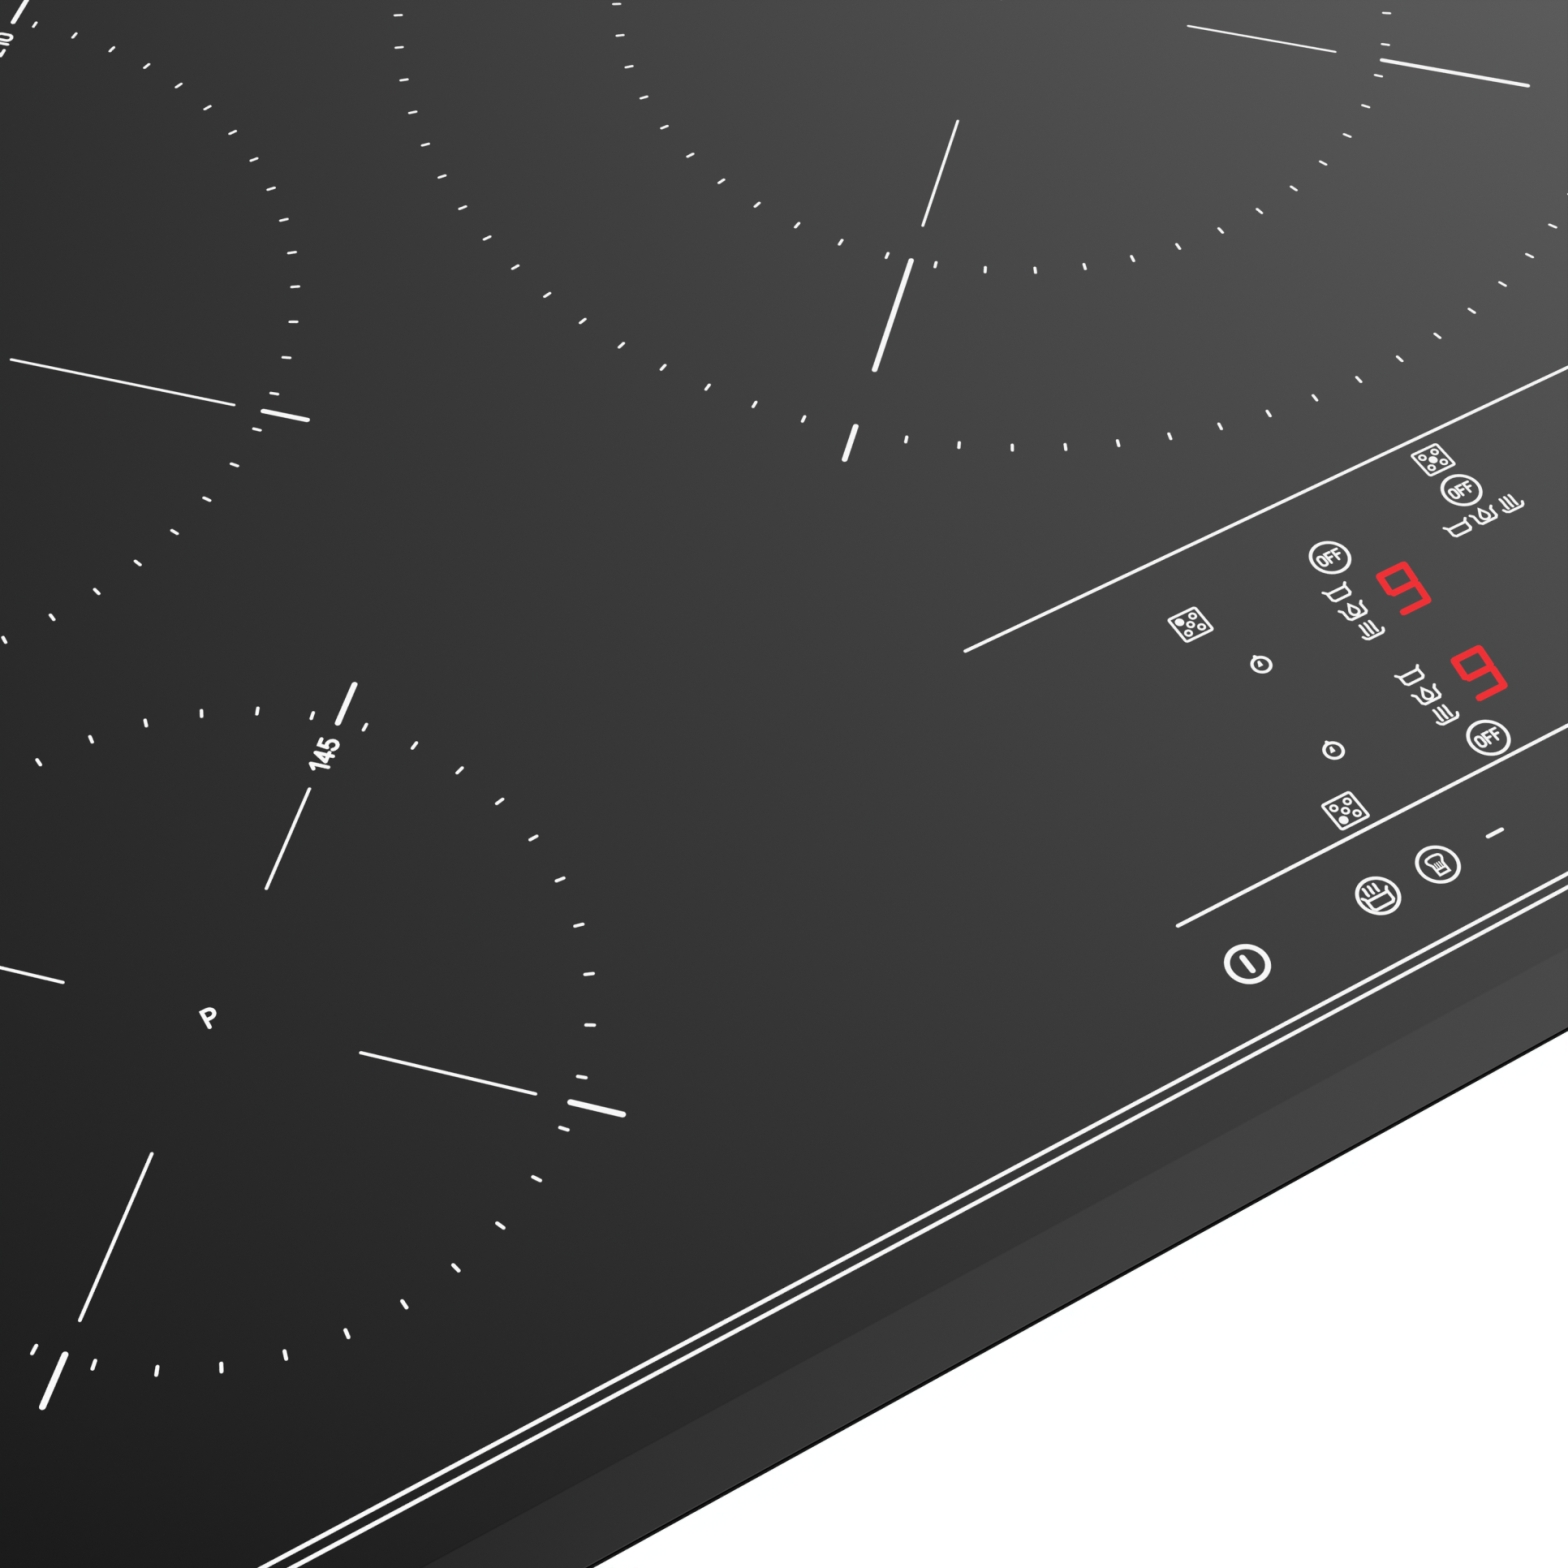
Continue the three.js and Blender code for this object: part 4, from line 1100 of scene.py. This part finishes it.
def pressed_tray():
    """The bottom tray: one sheet folded up all round, with slots for air and a window for the mains box."""
    high = node_box("bottom_tray")[1]
    loops = []
    for inset, z in tray_section():
        half_x, half_y = [edge - TRAY_LIP - inset for edge in (high.x, high.y)]
        outline = rounded_outline(half_x, half_y, TRAY_CORNER - inset, steps=8)
        loops.append([(x, y, z) for x, y in outline])
    shape = bmesh.new()
    skin(shape, loops)
    tray = place_piece("pressed_tray", shape, GALVANISED, replaces=["bottom_tray"])
    cutter = bmesh.new()
    for side in (-1, 1):
        for slot in floor_slots(side):
            prism(cutter, slot, SHEET - CUT_DEPTH, CUT_DEPTH)
    low, top = node_box("terminal_box")
    left, right = low.x + WINDOW_INSET, top.x - WINDOW_INSET
    near, far = high.y - WINDOW_REACH, high.y - 1
    window = [(left, near), (right, near), (right, far), (left, far)]
    prism(cutter, window, low.z + WINDOW_MARGIN, top.z - WINDOW_MARGIN)
    carve(tray, cutter)
    soften(tray)


CLIP_SHEET = 0.8
CLIP_REACH = 11.5
CLIP_FOOT = 20  # height at which it leaves the wall
CLIP_KNEE = 38  # height at which it turns back
CLIP_TIP = 5.6
CLIP_BEND = 2.5
CLIP_TAPER = 2.0  # how much narrower each side is at its ends
EDGE_BREAK = 0.15  # how much of the sheared edges is rounded off
BREAK_DEPTH = 0.7  # where the rounding starts, as a part of half the sheet


def bent(path, radius, steps=6):
    """The path with each inner corner rounded to about the radius."""
    points = [Vector(path[0])]
    for before, corner, after in zip(path, path[1:], path[2:]):
        before, corner, after = Vector(before), Vector(corner), Vector(after)
        first = corner + (before - corner).normalized() * radius
        last = corner + (after - corner).normalized() * radius
        for i in range(steps + 1):
            t = i / steps
            points.append(first.lerp(corner, t).lerp(corner.lerp(last, t), t))
    return points + [Vector(path[-1])]


def spring_clip(name, side):
    """A bent strip of spring steel that grips the edge of the worktop cut-out."""
    low, high = node_box(name)
    wall = low.x if side > 0 else -high.x
    place = (low.y + high.y) / 2
    knee = (CLIP_REACH - CLIP_SHEET, CLIP_KNEE)
    tip = (CLIP_TIP, high.z - CLIP_SHEET / 2)
    spine = bent([(0, low.z), (0, CLIP_FOOT), knee, tip], CLIP_BEND)
    last = len(spine) - 1
    rows = []
    for i, point in enumerate(spine):
        along = (spine[min(i + 1, last)] - spine[max(i - 1, 0)]).normalized()
        across = Vector((along.y, -along.x)) * CLIP_SHEET / 2
        centre = point + Vector((CLIP_SHEET / 2, 0))
        reach = (high.y - low.y) / 2 - (CLIP_TAPER if i in (0, last) else 0)
        full = reach - EDGE_BREAK
        section = [(-BREAK_DEPTH, -reach), (-1, -full), (-1, full), (-BREAK_DEPTH, reach),
                   (BREAK_DEPTH, reach), (1, full), (1, -full), (BREAK_DEPTH, -reach)]
        spots = [(centre + across * depth, y) for depth, y in section]
        rows.append([(side * (wall + spot.x), place + y, spot.y) for spot, y in spots])
    shape = bmesh.new()
    skin(shape, rows)
    clip = place_piece(name.replace("worktop_clip", "spring_clip"), shape, SPRING_STEEL,
                       body=name.replace("worktop_clip", "clip"), replaces=[name])
    soften(clip)


SCREW_HEAD = 2.2
SCREW_SHANK = 1.5
THREAD_RADIUS = 1.9
THREAD_ROOT = 1.45
THREAD_PITCH = 0.9
THREAD_START = 2.0  # from the tip
SCREW_SIDES = 32
RIM = 0.9  # where the straight rim of the head ends and its dome starts
RECESS_ARM = 1.9
RECESS_HALF = 0.38


def screw_profile(length, head_radius):
    """Radius and height along the screw from its tip, with the seat of the head at 0."""
    tip = -length
    profile = [(0.05, tip), (0.9, tip + 0.3), (SCREW_SHANK, tip + 1.6)]
    for i in range(int((length - THREAD_START) / THREAD_PITCH)):
        crest = tip + THREAD_START + i * THREAD_PITCH
        profile += [(THREAD_RADIUS, crest), (THREAD_ROOT, crest + THREAD_PITCH / 2)]
    profile += [(SCREW_SHANK, 0), (head_radius - 0.1, 0), (head_radius, 0.25), (head_radius - 0.05, RIM)]
    dome = SCREW_HEAD - RIM
    profile += [((head_radius - 0.05) * math.cos(a), RIM + dome * math.sin(a)) for a in (0.4, 0.8, 1.15)]
    return profile + [(0.6, SCREW_HEAD - 0.01)]


def tray_screw(name, side):
    """A pan-head screw with a cross recess, lying along Y with its head outside."""
    low, high = node_box(name)
    x, z = (low.x + high.x) / 2, (low.z + high.z) / 2
    seat = high.y - SCREW_HEAD if side > 0 else low.y + SCREW_HEAD
    tip = low.y if side > 0 else high.y
    turns = [2 * math.pi * i / SCREW_SIDES for i in range(SCREW_SIDES)]
    loops = []
    for radius, height in screw_profile(abs(seat - tip), (high.x - low.x) / 2):
        y = seat + side * height
        loops.append([(x + radius * math.cos(a), y, z + radius * math.sin(a)) for a in turns])
    shape = bmesh.new()
    skin(shape, loops)
    screw = place_piece(name.replace("tray_screw", "cross_screw"), shape, SCREW_ZINC,
                        replaces=[name])
    arm = [(RECESS_ARM, -RECESS_HALF), (RECESS_ARM, RECESS_HALF), (RECESS_HALF, RECESS_HALF)]
    cross = [p for quarter in range(4) for p in placed(arm, (0, 0), 90 * quarter)]
    cutter = bmesh.new()
    skin(cutter, [
        [(x + p.x * scale, seat + side * depth, z + p.y * scale) for p in cross]
        for depth, scale in ((0.7, 0.55), (3.0, 1.25))
    ])
    carve(screw, cutter)
    soften(screw)


# ---- coils

WINDING_INNER = {"front_left": 24, "rear_left": 30, "centre_inner": 24, "centre_outer": 92,
                 "front_right": 24, "rear_right": 24}


WIRE_SIDES = 8
TURN_STEPS = 48
WIRE_WIDTH = 0.47  # half the wire's width as a part of its pitch, so that the turns show


def litz_winding(which, inner):
    """A flat spiral of twisted copper wire."""
    name = f"coil_winding_{which}"
    low, high = node_box(name)
    centre = (low + high) / 2
    outer = (high.x - low.x) / 2
    wire = high.z - low.z
    steps = round((outer - inner) / wire) * TURN_STEPS
    loops = []
    for i in range(steps + 1):
        angle = 2 * math.pi * i / TURN_STEPS
        radius = inner + wire / 2 + (outer - inner - wire) * i / steps
        loop = []
        for k in range(WIRE_SIDES):
            turn = 2 * math.pi * (k + 0.5) / WIRE_SIDES
            away = radius + wire * WIRE_WIDTH * math.cos(turn)
            loop.append((centre.x + away * math.cos(angle), centre.y + away * math.sin(angle),
                         centre.z + wire / 2 * math.sin(turn)))
        loops.append(loop)
    shape = bmesh.new()
    skin(shape, loops)
    body = "coil_" + which.replace("_inner", "").replace("_outer", "")
    winding = place_piece(f"litz_winding_{which}", shape, LITZ_COPPER,
                          body=body, replaces=[name])
    soften(winding, 60)


# ---- finishes of the pieces that stay as made

WELD_REACH = 0.01
SHARPEST = 50  # edges that turn by more than this many degrees are rounded


def finish_nodes(material, width, *starts):
    """Gives unfinished CAD pieces whose names start so a material, and their edges a small radius."""
    for name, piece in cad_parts.items():
        if piece.modifiers or not name.startswith(starts):
            continue
        piece.data.materials.clear()
        piece.data.materials.append(material)
        weld = piece.modifiers.new("weld", "WELD")
        weld.merge_threshold = WELD_REACH * MM
        round_off = piece.modifiers.new("round_edges", "BEVEL")
        round_off.width = width * MM
        round_off.segments = 2
        round_off.limit_method = "ANGLE"
        round_off.angle_limit = math.radians(SHARPEST)
        round_off.harden_normals = True


# ---- making it all

WHITE_INK = white_ceramic_ink()
RED_DISPLAY = lit_display_red()
BLACK_GLASS = polished_glass_ceramic()
GLASS_EDGE = ground_glass_edge()
GALVANISED = galvanised_sheet()
SPRING_STEEL = rolled_spring_steel()
SCREW_ZINC = bright_zinc_screw()
LITZ_COPPER = enamelled_litz_copper()

make_camera()
make_room()
make_softbox()
make_floor()
glass_plate()
for zone_name in ZONE_DIAMETERS:
    print_zone(zone_name)
print_lines()
print_controls()
display_digits()
pressed_tray()
for side_name in SIDES:
    for end_name in ENDS:
        spring_clip(f"worktop_clip_{side_name}_{end_name}", SIDES[side_name])
for end_name in ENDS:
    for side_name in SIDES:
        tray_screw(f"tray_screw_{end_name}_{side_name}", ENDS[end_name])
for winding_name, winding_inner in WINDING_INNER.items():
    litz_winding(winding_name, winding_inner)

finish_nodes(BLACK_GLASS, 0.3, "glass_top")
finish_nodes(closed_cell_foam(), 0.3, "seal_")
finish_nodes(GALVANISED, 0.2, "bottom_tray")
finish_nodes(zinc_plated_bracket(), 0.2, "glass_bracket")
finish_nodes(SCREW_ZINC, 0.2, "tray_screw")
finish_nodes(mill_aluminium(), 0.2, "coil_shelf")
finish_nodes(LITZ_COPPER, 0.3, "coil_winding")
finish_nodes(glass_filled_nylon(), 0.4, "coil_carrier")
finish_nodes(mica_sheet(), 0.1, "mica_sheet")
finish_nodes(moulded_silicone(), 0.5, "temperature_sensor")
finish_nodes(SPRING_STEEL, 0.15, "coil_spring", "worktop_clip")
finish_nodes(white_moulded_plastic(), 0.4, "touch_board_holder", "terminal_block")
finish_nodes(solder_masked_board(), 0.4, "power_board", "touch_board")
finish_nodes(extruded_aluminium(), 0.2, "heatsink")
finish_nodes(black_moulded_plastic(), 0.3, "fan_housing", "fan_impeller", "terminal_box", "terminal_cover")
